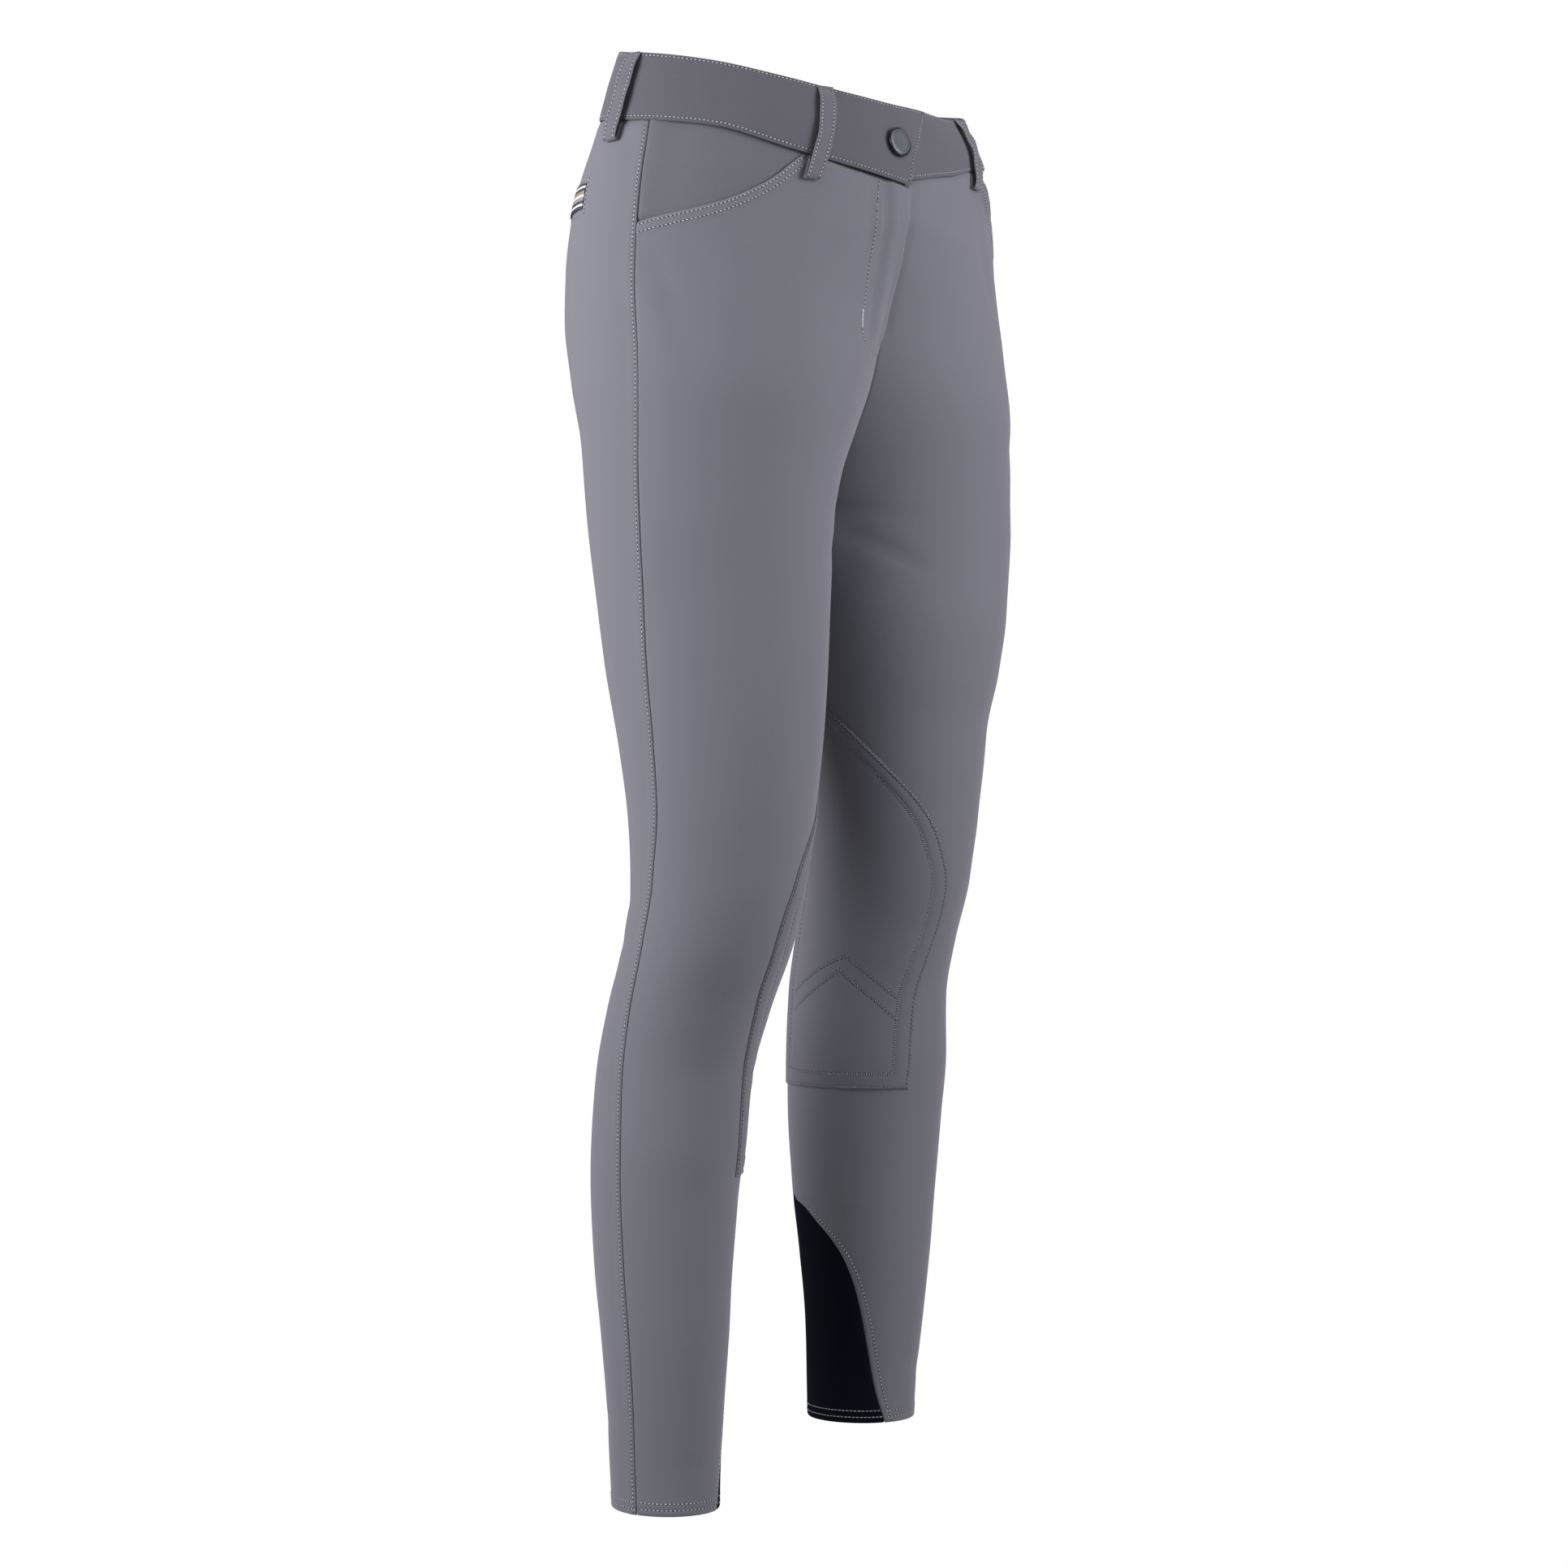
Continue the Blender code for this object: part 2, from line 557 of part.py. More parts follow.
def belt_loop(loop):
    """A strap from the waistband's top edge, folded under below the band and back up into its seam."""
    edges = table_row(BAND_EDGES, loop.top_angle)
    foot_edges = table_row(BAND_EDGES, loop.foot_angle)
    half = STRAP_CLOTH / 2
    on_band = BAND_CLOTH + SEAM_GAP + half
    clear = BAND_CLOTH + LOOP_STAND + half
    on_panel = CLOTH + LAY_GAP + half
    foot = foot_edges.low - LOOP_DROP
    fold = on_panel + 0.0017
    path = [(edges.top - 0.0005, on_band), (edges.top - 0.004, on_band + 0.0004), (edges.top - 0.010, clear - 0.0008),
            (edges.top - 0.018, clear), (foot_edges.low + 0.008, clear), (foot_edges.low - 0.006, clear - 0.0004),
            (foot + 0.003, clear - 0.0010), (foot + 0.0008, fold + 0.0009), (foot, fold),
            (foot + 0.0008, on_panel + 0.0003), (foot + 0.004, on_panel), (foot_edges.low - 0.0040, on_panel)]
    tall = path[0][0] - foot
    centres = []
    for z, stand in path:
        angle = loop.foot_angle + (loop.top_angle - loop.foot_angle) * (z - foot) / tall
        centres.append((angle, z, stand))
    spine = [torso_point(a, z) + ring_normal(torso_point, a, z) * stand for a, z, stand in centres]
    inner, outer = [], []
    for i, (angle, z, _stand) in enumerate(centres):
        across = (torso_point(angle + 0.5, z) - torso_point(angle - 0.5, z)).normalized()
        along = (spine[min(i + 1, len(spine) - 1)] - spine[max(i - 1, 0)]).normalized()
        normal = across.cross(along).normalized()
        middle = spine[i]
        line = [middle + across * offset for offset in (-LOOP_WIDTH / 2, 0.0, LOOP_WIDTH / 2)]
        inner.append([point - normal * half for point in line])
        outer.append([point + normal * half for point in line])
    closed_wall(loop.name, loop.side, inner, outer, finish(loop.name, MAIN_COLOUR, 0.8))


def waist_button():
    """A turned button with a raised rim, flat on the lapped end of the waistband."""
    profile = [(0.0, 0.0), (0.90, 0.0), (0.97, 0.10), (1.0, 0.30), (1.0, 0.62), (0.96, 0.90), (0.90, 1.0),
               (0.84, 0.97), (0.81, 0.82), (0.50, 0.88), (0.0, 0.92)]
    mesh = bpy.data.meshes.new("button_profile")
    points = [(BUTTON_RADIUS * r, 0.0, BUTTON_HEIGHT * h) for r, h in reversed(profile)]
    mesh.from_pydata(points, [(i, i + 1) for i in range(len(points) - 1)], [])
    button = bpy.data.objects.new("waist_button", mesh)
    button.data.materials.append(finish("waist_button", BUTTON_COLOUR, 0.35, 0.1))
    breeches.objects.link(button)
    screw = button.modifiers.new("turn", "SCREW")
    screw.steps = screw.render_steps = 28
    screw.use_merge_vertices = True
    screw.merge_threshold = 0.00001
    screw.use_normal_flip = False
    normal = ring_normal(torso_point, BUTTON_ANGLE, BUTTON_Z)
    seat = torso_point(BUTTON_ANGLE, BUTTON_Z) + normal * (BAND_RISE + BAND_CLOTH + LAY_GAP)
    turn = Vector((0, 0, 1)).rotation_difference(normal).to_matrix().to_4x4()
    button.matrix_world = Matrix.Translation(seat) @ turn


def back_welt(side):
    """The striped tape of a back welt pocket."""
    top, foot = WELT_Z + WELT_HEIGHT / 2, WELT_Z - WELT_HEIGHT / 2
    lines = [[(angle, z) for angle in spread(*WELT_ANGLES, 10)] for z in spread(top, foot, 3)]
    name = f"welt_{side}"
    laid_on(name, side, torso_point, lines, CLOTH + LAY_GAP, TAPE_CLOTH, finish(name, TAPE_COLOUR, 0.7))


for old in list(bpy.data.objects):
    bpy.data.objects.remove(old, do_unlink=True)
breeches = bpy.data.collections.new("riding_breeches")
bpy.context.scene.collection.children.link(breeches)

for half in ("right", "left"):
    panel(half, "front")
    panel(half, "back")
    pocket_bearer(half)
    waistband(half)
    back_welt(half)
    knee_patch(half)
    calf_insert(half)
for strap in LOOPS:
    belt_loop(strap)
waist_button()
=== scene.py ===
"""Riding breeches in smooth grey stretch cloth, filled out as if worn, with nobody in them.

Metres, +Z up. The wearer faces -Y and their right leg is on -X; the origin is the middle of the waist. Both
halves come from one surface of the right half; the left one is that surface mirrored and eased.
"""
import math
from collections import namedtuple

import bpy
import numpy as np
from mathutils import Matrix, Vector


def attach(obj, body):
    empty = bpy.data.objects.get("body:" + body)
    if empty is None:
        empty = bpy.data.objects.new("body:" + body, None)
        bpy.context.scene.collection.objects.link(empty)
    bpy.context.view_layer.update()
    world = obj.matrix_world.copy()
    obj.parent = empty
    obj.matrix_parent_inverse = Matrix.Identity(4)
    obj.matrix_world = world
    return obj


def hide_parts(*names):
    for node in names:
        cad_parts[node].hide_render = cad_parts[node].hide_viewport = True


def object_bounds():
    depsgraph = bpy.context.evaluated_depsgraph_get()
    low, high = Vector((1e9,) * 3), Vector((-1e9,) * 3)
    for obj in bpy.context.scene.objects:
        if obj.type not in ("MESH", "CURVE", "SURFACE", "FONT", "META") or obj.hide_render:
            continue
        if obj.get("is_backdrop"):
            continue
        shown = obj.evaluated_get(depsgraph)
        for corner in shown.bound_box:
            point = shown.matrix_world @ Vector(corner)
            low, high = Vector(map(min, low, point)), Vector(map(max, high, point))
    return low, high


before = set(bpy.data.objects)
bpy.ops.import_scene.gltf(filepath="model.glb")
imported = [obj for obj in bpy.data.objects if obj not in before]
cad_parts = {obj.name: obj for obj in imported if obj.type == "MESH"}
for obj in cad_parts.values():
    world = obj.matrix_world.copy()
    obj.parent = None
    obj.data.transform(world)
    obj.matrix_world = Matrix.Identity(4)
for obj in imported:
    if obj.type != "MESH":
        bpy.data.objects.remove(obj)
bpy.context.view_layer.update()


def table(fields, *rows):
    """A list of rows whose columns have names."""
    row_type = namedtuple("Row", fields)
    return [row_type(*row) for row in rows]


def wire(tree, node, inputs):
    """Gives a node's inputs their values, or links each one to the output it reads."""
    for name, value in inputs.items():
        if isinstance(value, bpy.types.NodeSocket):
            tree.links.new(value, node.inputs[name])
        else:
            node.inputs[name].default_value = value
    return node


def add_node(tree, kind, inputs=None, **settings):
    """A new node with its settings and its inputs."""
    node = tree.nodes.new(kind)
    for name, value in settings.items():
        setattr(node, name, value)
    return wire(tree, node, inputs or {})


def new_material(name):
    """A new material, with its node tree and its main shader."""
    material = bpy.data.materials.new(name)
    material.use_nodes = True
    return material, material.node_tree, material.node_tree.nodes["Principled BSDF"]


def white_to_camera(tree, lit, white, output):
    """Shows the camera plain white where the light meets something else."""
    ray = add_node(tree, "ShaderNodeLightPath").outputs["Is Camera Ray"]
    choice = add_node(tree, "ShaderNodeMixShader", {"Fac": ray, 1: lit.outputs[0], 2: white.outputs[0]})
    wire(tree, tree.nodes[output], {"Surface": choice.outputs[0]})


# ---- Studio: a plain pale floor well below the hems, soft light from large panels, and the camera.
# One softbox stands on each side, the stronger on the seat's side, so that what faces the camera is darkest.
# The floor is white only to the camera: the cloth takes no light from below.
AZIMUTH = math.radians(-47.0)
CAMERA_DISTANCE = 2.4
CAMERA_HEIGHT = -0.455
FLOOR_Z = -1.12
to_camera = Vector((math.sin(AZIMUTH), -math.cos(AZIMUTH), 0.0))
to_right = Vector((math.cos(AZIMUTH), math.sin(AZIMUTH), 0.0))

camera = bpy.data.objects.new("camera", bpy.data.cameras.new("camera"))
bpy.context.scene.collection.objects.link(camera)
camera.data.sensor_width = 36.0
camera.data.lens = 80.5
camera.data.clip_end = 50.0
camera.location = to_camera * CAMERA_DISTANCE - to_right * 0.0028 + Vector((0, 0, CAMERA_HEIGHT))
camera.rotation_euler = (math.pi / 2, 0.0, AZIMUTH)
bpy.context.scene.camera = camera

floor_mesh = bpy.data.meshes.new("studio_floor")
floor_mesh.from_pydata([(-40, -40, FLOOR_Z), (40, -40, FLOOR_Z), (40, 40, FLOOR_Z), (-40, 40, FLOOR_Z)], [],
                       [(0, 1, 2, 3)])
studio_floor = bpy.data.objects.new("studio_floor", floor_mesh)
bpy.context.scene.collection.objects.link(studio_floor)
floor_paint, floor_tree, floor_shader = new_material("studio_floor")
wire(floor_tree, floor_shader, {"Base Color": (0.45, 0.45, 0.46, 1.0), "Roughness": 0.9})
white_to_camera(floor_tree, floor_shader, add_node(floor_tree, "ShaderNodeEmission"), "Material Output")
studio_floor.data.materials.append(floor_paint)
studio_floor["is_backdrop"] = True

SOFTBOXES = table(
    "name right toward up aim_up width height watts",
    ("key", -1.25, 0.67, 0.54, 0.44, 0.8, 0.9, 33.5), ("side", 1.36, 0.62, 0.72, 0.6, 0.8, 1.2, 29.0),
    ("front", 0.6, 3.2, 1.1, 0.1, 1.6, 1.6, 14.0), ("top", 0.0, 0.2, 2.6, 0.0, 2.6, 2.6, 8.0),
)
for box in SOFTBOXES:
    panel_light = bpy.data.lights.new(box.name, "AREA")
    panel_light.shape = "RECTANGLE"
    panel_light.size, panel_light.size_y = box.width, box.height
    panel_light.energy = box.watts
    lamp = bpy.data.objects.new(box.name, panel_light)
    lamp.visible_camera = False
    lamp.location = to_right * box.right + to_camera * box.toward + Vector((0, 0, CAMERA_HEIGHT + box.up))
    aim = Vector((0, 0, CAMERA_HEIGHT + box.aim_up)) - lamp.location
    lamp.rotation_euler = aim.to_track_quat("-Z", "Y").to_euler()
    bpy.context.scene.collection.objects.link(lamp)

sky = bpy.data.worlds.new("studio")
sky.use_nodes = True
sky_light = sky.node_tree.nodes["Background"]
wire(sky.node_tree, sky_light, {"Color": (0.93, 0.95, 1.0, 1.0), "Strength": 0.13})
backdrop = add_node(sky.node_tree, "ShaderNodeBackground", {"Color": (1.0, 1.0, 1.0, 1.0)})
white_to_camera(sky.node_tree, sky_light, backdrop, "World Output")
bpy.context.scene.world = sky
bpy.context.scene.view_settings.view_transform = "Standard"


# ---- Front and back panels: four-way stretch cloth, each panel cut in one piece from waistband to hem.
# They are seamed at the side, the inner leg and the middle, and topstitched. The form is two tables of closed
# rings, one round the hips and one round the leg, blended through the crotch, course by course.
CLOTH = 0.0013
HEM_Z = -0.9380
TOP_STEPS = 2
TUCK = 0.0034              # how far a panel's top reaches up into the waistband
HEM_DROP, HEM_DROP_REACH = 0.0040, 0.090     # how much lower than on its solid the left hem hangs
END_RISE, END_RISE_FROM, END_RISE_OVER = 0.0046, 70.0, 16.0
BAND_COVER = 0.0008        # how far a panel's top lies inside the waistband's lower edge
HIP_HALF_WIDTH, HIP_DEPTH = 0.17, 0.108      # the ring on which angles round the hip are read

TORSO = table(
    "z half_width front back",
    (0.036, 0.147, 0.076, 0.05), (0.015, 0.152, 0.0865, 0.062), (-0.01, 0.158, 0.098, 0.074),
    (-0.035, 0.164, 0.106, 0.088), (-0.06, 0.17, 0.1085, 0.102), (-0.085, 0.1735, 0.108, 0.1115),
    (-0.115, 0.176, 0.109, 0.116), (-0.15, 0.1775, 0.1125, 0.116), (-0.19, 0.1775, 0.119, 0.104),
    (-0.23, 0.1755, 0.121, 0.088), (-0.29, 0.1705, 0.119, 0.079),
)

LEG = table(
    "z centre_x centre_y half_width front back turn",
    (-0.08, -0.086, -0.002, 0.087, 0.108, 0.112, 0.0), (-0.19, -0.089, -0.004, 0.088, 0.101, 0.088, 0.0),
    (-0.235, -0.0885, -0.006, 0.086, 0.09, 0.075, 0.0), (-0.29, -0.0885, -0.01, 0.082, 0.082, 0.074, 0.0),
    (-0.33, -0.0885, -0.0125, 0.0775, 0.079, 0.072, 2.0), (-0.38, -0.089, -0.0165, 0.0725, 0.075, 0.069, 4.0),
    (-0.43, -0.09, -0.0215, 0.066, 0.069, 0.064, 6.0), (-0.475, -0.091, -0.024, 0.06, 0.063, 0.061, 8.0),
    (-0.52, -0.0915, -0.0215, 0.0553, 0.059, 0.0588, 10.0),
    (-0.56, -0.092, -0.0125, 0.0528, 0.0578, 0.058, 8.0), (-0.605, -0.0925, 0.005, 0.05, 0.0555, 0.0562, 6.0),
    (-0.65, -0.093, 0.018, 0.048, 0.054, 0.0556, 9.0), (-0.69, -0.0935, 0.022, 0.0478, 0.054, 0.0565, 12.0),
    (-0.735, -0.094, 0.0253, 0.0458, 0.0517, 0.0548, 14.0),
    (-0.78, -0.0945, 0.0258, 0.0428, 0.0488, 0.0508, 13.0),
    (-0.825, -0.0948, 0.0242, 0.0398, 0.0448, 0.0458, 12.0),
    (-0.87, -0.095, 0.0238, 0.0366, 0.0408, 0.0408, 10.0),
    (-0.91, -0.095, 0.024, 0.0348, 0.0378, 0.0378, 8.0), (HEM_Z, -0.095, 0.0235, 0.0338, 0.0368, 0.0363, 8.0),
)

LEFT_EASE = table(
    "z lift widen back",
    (-0.12, 0.0, 0.0, 0.0), (-0.16, 0.0, 0.0, 0.0), (-0.2, 0.0, 0.015, 0.0), (-0.27, 0.0, 0.05, 0.0),
    (-0.31, 0.007, 0.055, 0.0), (-0.36, 0.021, 0.038, -0.001), (-0.41, 0.032, 0.015, 0.002),
    (-0.46, 0.039, -0.015, 0.006), (-0.53, 0.04, -0.01, 0.005), (-0.6, 0.042, 0.03, -0.001),
    (-0.66, 0.046, 0.05, -0.006), (-0.72, 0.048, 0.065, -0.008), (-0.76, 0.045, 0.065, -0.007),
    (-0.8, 0.041, 0.06, -0.006), (-0.87, 0.04, 0.055, -0.004), (HEM_Z, 0.04, 0.045, -0.001),
)

LEFT_SETTLE = table(
    "z lift",
    (-0.13, 0.0), (-0.105, 0.003), (-0.08, 0.0075), (-0.062, 0.0098), (-0.0445, 0.0088), (-0.0145, 0.0),
    (0.003, -0.005), (0.036, -0.005),
)
SETTLE_SHARE = table(
    "angle share",
    (0.0, 0.0), (20.0, 0.35), (40.0, 0.9), (52.0, 1.0), (64.0, 1.0), (72.0, 0.78), (80.0, 0.4), (85.0, 0.12),
    (90.0, 0.0),
)

COURSES = table(
    "place side_z inner_z front_leg back_leg",
    (0, -0.107, -0.08, 0.0, 0.0), (1, -0.13, -0.11, 0.1, 0.02), (2, -0.153, -0.14, 0.22, 0.06),
    (3, -0.177, -0.17, 0.32, 0.15), (4, -0.2, -0.2, 0.44, 0.28), (5, -0.222, -0.225, 0.58, 0.45),
    (6, -0.245, -0.245, 0.74, 0.64), (7, -0.268, -0.258, 0.88, 0.84), (8, -0.29, -0.265, 1.0, 1.0),
    (9, -0.318, -0.3, 1.0, 1.0), (10, -0.35, -0.342, 1.0, 1.0),
)
LEG_LEVELS = [-0.385, -0.415, -0.446, -0.47, -0.492, -0.515, -0.54, -0.567, -0.595, -0.625, -0.655, -0.685,
              -0.715, -0.75, -0.786, -0.79, -0.794, -0.803, -0.813, -0.827, -0.845, -0.866, -0.89, -0.916,
              HEM_Z]
COURSES += table("place side_z inner_z front_leg back_leg",
                 *[(11 + i, z, z, 1.0, 1.0) for i, z in enumerate(LEG_LEVELS)])

BAND_EDGES = table(
    "angle top low",
    (-100.0, 0.034, -0.008), (-90.0, 0.034, -0.008), (-45.0, 0.031, -0.0135), (0.0, 0.0225, -0.0225),
    (35.0, 0.014, -0.0302), (57.0, 0.0055, -0.0435), (90.0, -0.0055, -0.0585), (100.0, -0.0055, -0.061),
)

POCKET_MOUTH = table(
    "angle z",
    (0.0, -0.099), (8.0, -0.0965), (16.0, -0.092), (30.0, -0.0855), (39.0, -0.0795), (47.0, -0.0705),
    (52.0, -0.0625), (56.0, -0.0535), (60.5, -0.044),
)

SIDE_SEAM = table(
    "z angle",
    (0.036, 13.4), (-0.107, 13.4), (-0.19, 14.5), (-0.27, 13.0), (-0.365, 8.0), (-0.475, 1.0), (-0.517, -5.0),
    (-0.56, -8.0), (-0.604, -4.5), (-0.648, 0.0), (-0.735, 5.3), (-0.82, 8.0), (HEM_Z, 11.0),
)
INSEAM = table(
    "z angle",
    (-0.06, 180.0), (-0.275, 180.0), (-0.34, 192.0), (-0.4, 212.0), (-0.446, 226.0), (-0.48, 228.0),
    (HEM_Z, 228.0),
)
INSERT_EDGE = table(
    "z front back",
    (-0.786, 228.0, 228.0), (-0.79, 213.0, 230.5), (-0.794, 198.0, 233.0), (-0.803, 184.0, 237.0),
    (-0.813, 171.0, 241.0), (-0.827, 159.0, 246.0), (-0.845, 149.5, 251.0), (-0.866, 142.0, 256.0),
    (-0.89, 134.0, 261.0), (-0.916, 124.0, 266.0), (HEM_Z, 112.0, 270.0),
)

# The fly: the right front is raised over the left at the middle and laps it.
FLY_RISE = CLOTH + 0.0008
FLY_END_Z, FLY_FADE = -0.160, 0.012
FLY_WIDTH, FLY_SLOPE = 0.0165, 0.0065
INSERT_TOP = -0.790
CROTCH_PLACE = 8.0         # the course down to which the two halves are seamed together in the middle


def smooth(rows, column):
    """A column of a table as a smooth curve through its rows that never overshoots them."""
    rows = sorted(rows)
    keys = np.array([row[0] for row in rows], float)
    values = np.array([getattr(row, column) for row in rows], float)
    slopes = np.diff(values) / np.diff(keys)
    before, after = slopes[:-1], slopes[1:]
    total = np.where(before * after > 0, before + after, 1.0)
    middle = np.where(before * after > 0, 2 * before * after / total, 0.0)
    tangents = np.concatenate([slopes[:1], middle, slopes[-1:]])

    def at(key):
        key = np.clip(key, keys[0], keys[-1])
        low = np.clip(np.searchsorted(keys, key, side="right") - 1, 0, len(keys) - 2)
        span = keys[low + 1] - keys[low]
        t = (key - keys[low]) / span
        return (values[low] * (1 + 2 * t) * (1 - t) ** 2 + values[low + 1] * t * t * (3 - 2 * t)
                + span * (tangents[low] * t * (1 - t) ** 2 - tangents[low + 1] * t * t * (1 - t)))
    return at


def columns(rows):
    """Every column of a table but the first, as smooth curves by name."""
    return {name: smooth(rows, name) for name in rows[0]._fields[1:]}


def swell(t):
    """0 up to 0 and 1 from 1 on, rising smoothly between."""
    t = np.clip(t, 0.0, 1.0)
    return t * t * (3 - 2 * t)


def ramp(distance, reach):
    """1 at no distance or below it, falling smoothly to 0 at the given reach."""
    return swell(1 - distance / reach)


def unit(vectors):
    """Vectors brought to length 1."""
    return vectors / np.maximum(np.linalg.norm(vectors, axis=-1, keepdims=True), 1e-12)


def sampled(line, run, at):
    """A line of points read at some distances along it; run is how far along each of its points lies."""
    return np.stack([np.interp(at, run, line[:, k]) for k in range(3)], -1)


def crossing(values, level):
    """The fractional place at which a rising or falling run of values reaches a level."""
    sign = 1 if values[0] < values[-1] else -1
    return np.interp(sign * level, sign * values, np.arange(len(values)))


hip, leg, ease, course = columns(TORSO), columns(LEG), columns(LEFT_EASE), columns(COURSES)
band_edge, insert_edge = columns(BAND_EDGES), columns(INSERT_EDGE)
mouth_z, side_seam, inseam = smooth(POCKET_MOUTH, "z"), smooth(SIDE_SEAM, "angle"), smooth(INSEAM, "angle")
settle_lift, settle_share = smooth(LEFT_SETTLE, "lift"), smooth(SETTLE_SHARE, "share")


def torso_point(angle, z):
    """Points of the right half's hip rings."""
    turn = np.radians(angle)
    depth = np.where(np.sin(turn) >= 0, hip["front"](z), hip["back"](z))
    return np.stack([-hip["half_width"](z) * np.cos(turn), -depth * np.sin(turn), z + 0 * turn], -1)


def leg_point(angle, z):
    """Points of the right leg's rings."""
    twist = np.radians(leg["turn"](z))
    turn = np.radians(angle) + twist
    depth = np.where(np.sin(turn) >= 0, leg["front"](z), leg["back"](z))
    across, along = -leg["half_width"](z) * np.cos(turn), -depth * np.sin(turn)
    return np.stack([leg["centre_x"](z) + across * np.cos(twist) + along * np.sin(twist),
                     leg["centre_y"](z) - across * np.sin(twist) + along * np.cos(twist), z + 0 * turn], -1)


def panel_point(face, width, place):
    """Points of a right panel: width runs from 0 at the side seam to 1 at the inner edge, place down it."""
    width, place = np.broadcast_arrays(np.asarray(width, float), np.asarray(place, float))
    middle = 90.0 if face == "front" else -90.0
    down = np.maximum(place, 0.0)
    side_z = course["side_z"](down)
    z = side_z + (course["inner_z"](down) - side_z) * width ** 2
    seam = side_seam(side_z)
    hip_angle = seam + width * (middle - seam)
    low = band_edge["low"](hip_angle) + TUCK - BAND_COVER
    in_mouth = (face == "front") & (hip_angle < POCKET_MOUTH[-1].angle)
    top = np.where(in_mouth, np.minimum(low, mouth_z(hip_angle)), low)
    z = np.where(place < 0, z + (top - z) * -place / TOP_STEPS, z)
    share = course["front_leg" if face == "front" else "back_leg"](down)[..., None]
    below = z < INSERT_EDGE[0].z
    if face == "front":
        end = np.where(below, insert_edge["front"](z), inseam(z)) - 0.3
    else:
        end = np.where(below, insert_edge["back"](z), inseam(z)) - 360 + 0.3
    leg_angle = seam + width * (end - seam)
    return torso_point(hip_angle, z) * (1 - share) + leg_point(leg_angle, z) * share


def normals_of(grid):
    """Unit normals of a grid of points, with rows running down and columns round from the side seam."""
    down, along = np.gradient(grid, axis=0), np.gradient(grid, axis=1)
    return unit(np.cross(down, along))


def placed(side, points):
    """Points of the right half where they lie on the given side."""
    if side == "right":
        return points
    x, y, z = points[..., 0], points[..., 1], points[..., 2]
    angle = np.degrees(np.arctan2(-y / TORSO[4].front, -x / TORSO[4].half_width))
    settle = settle_lift(z) * settle_share(angle)
    lift = ease["lift"](z) + settle - HEM_DROP * ramp(z - HEM_Z, HEM_DROP_REACH)
    return np.stack([-x * (1 + ease["widen"](z)), y + ease["back"](z), z + lift], -1)


def end_rise(side, angle):
    """How much higher than on its solid the left half's waist seam runs towards its lapped end."""
    return END_RISE * swell((angle - END_RISE_FROM) / END_RISE_OVER) * (side == "left")


# Soft folds of the stretched cloth: where each starts and ends on the right half's surface, how far its path
# bows aside, its width and its height (a trough is below 0). form says which rings its angles are read on.
FOLDS = table(
    "side form angle z end_angle end_z bow width height",
    ("right", "hip", 17, -0.112, 31, -0.165, 0.004, 0.0085, -0.0016),
    ("right", "hip", 14, -0.12, 24, -0.19, 0.003, 0.01, 0.0012),
    ("right", "hip", 60, -0.072, 46, -0.128, -0.004, 0.009, -0.0014),
    ("right", "hip", 65, -0.066, 55, -0.13, -0.003, 0.009, 0.0011),
    ("right", "hip", 81.2, -0.06, 79.8, -0.158, 0.001, 0.0042, 0.0016),
    ("right", "hip", 78.9, -0.06, 77.6, -0.16, 0.001, 0.0036, -0.0012),
    ("left", "hip", 61, -0.044, 45, -0.066, 0.0, 0.0105, 0.0052),
    ("left", "hip", 16, -0.112, 28, -0.17, 0.004, 0.008, -0.0013),
    ("left", "hip", 60, -0.07, 50, -0.12, -0.003, 0.008, -0.0011),
    ("left", "leg", 30, -0.205, 62, -0.232, 0.003, 0.0085, -0.0012),
    ("left", "leg", 22, -0.236, 50, -0.258, 0.002, 0.008, -0.001),
    ("right", "leg", 150, -0.292, 112, -0.318, 0.004, 0.009, -0.001),
    ("left", "leg", 160, -0.285, 120, -0.322, 0.003, 0.0085, -0.0012),
    ("right", "leg", -70, -0.27, -130, -0.246, 0.006, 0.0075, -0.0022),
    ("right", "leg", -60, -0.292, -118, -0.272, 0.005, 0.008, 0.0014),
    ("left", "leg", -64, -0.268, -128, -0.25, 0.005, 0.008, -0.002),
    ("left", "leg", -72, -0.296, -120, -0.284, 0.004, 0.0085, 0.0012),
    ("right", "leg", -48, -0.56, -112, -0.546, 0.003, 0.006, -0.002),
    ("right", "leg", -55, -0.58, -125, -0.572, 0.002, 0.0065, -0.0016),
    ("right", "leg", -40, -0.536, -92, -0.52, 0.003, 0.006, -0.0013),
    ("right", "leg", -60, -0.602, -108, -0.606, -0.002, 0.007, -0.0012),
    ("left", "leg", -52, -0.556, -118, -0.544, 0.003, 0.006, -0.0018),
    ("left", "leg", -48, -0.578, -108, -0.568, 0.002, 0.0065, -0.0017),
    ("left", "leg", -62, -0.602, -122, -0.598, -0.002, 0.0065, -0.0012),
    ("right", "leg", 60, -0.905, 118, -0.912, 0.002, 0.0065, -0.0007),
    ("left", "leg", 40, -0.908, 100, -0.902, 0.002, 0.0065, -0.0007),
    ("right", "leg", -40, -0.88, -95, -0.89, 0.002, 0.007, -0.0009),
    ("left", "leg", -60, -0.876, -110, -0.886, 0.002, 0.007, -0.0009),
)


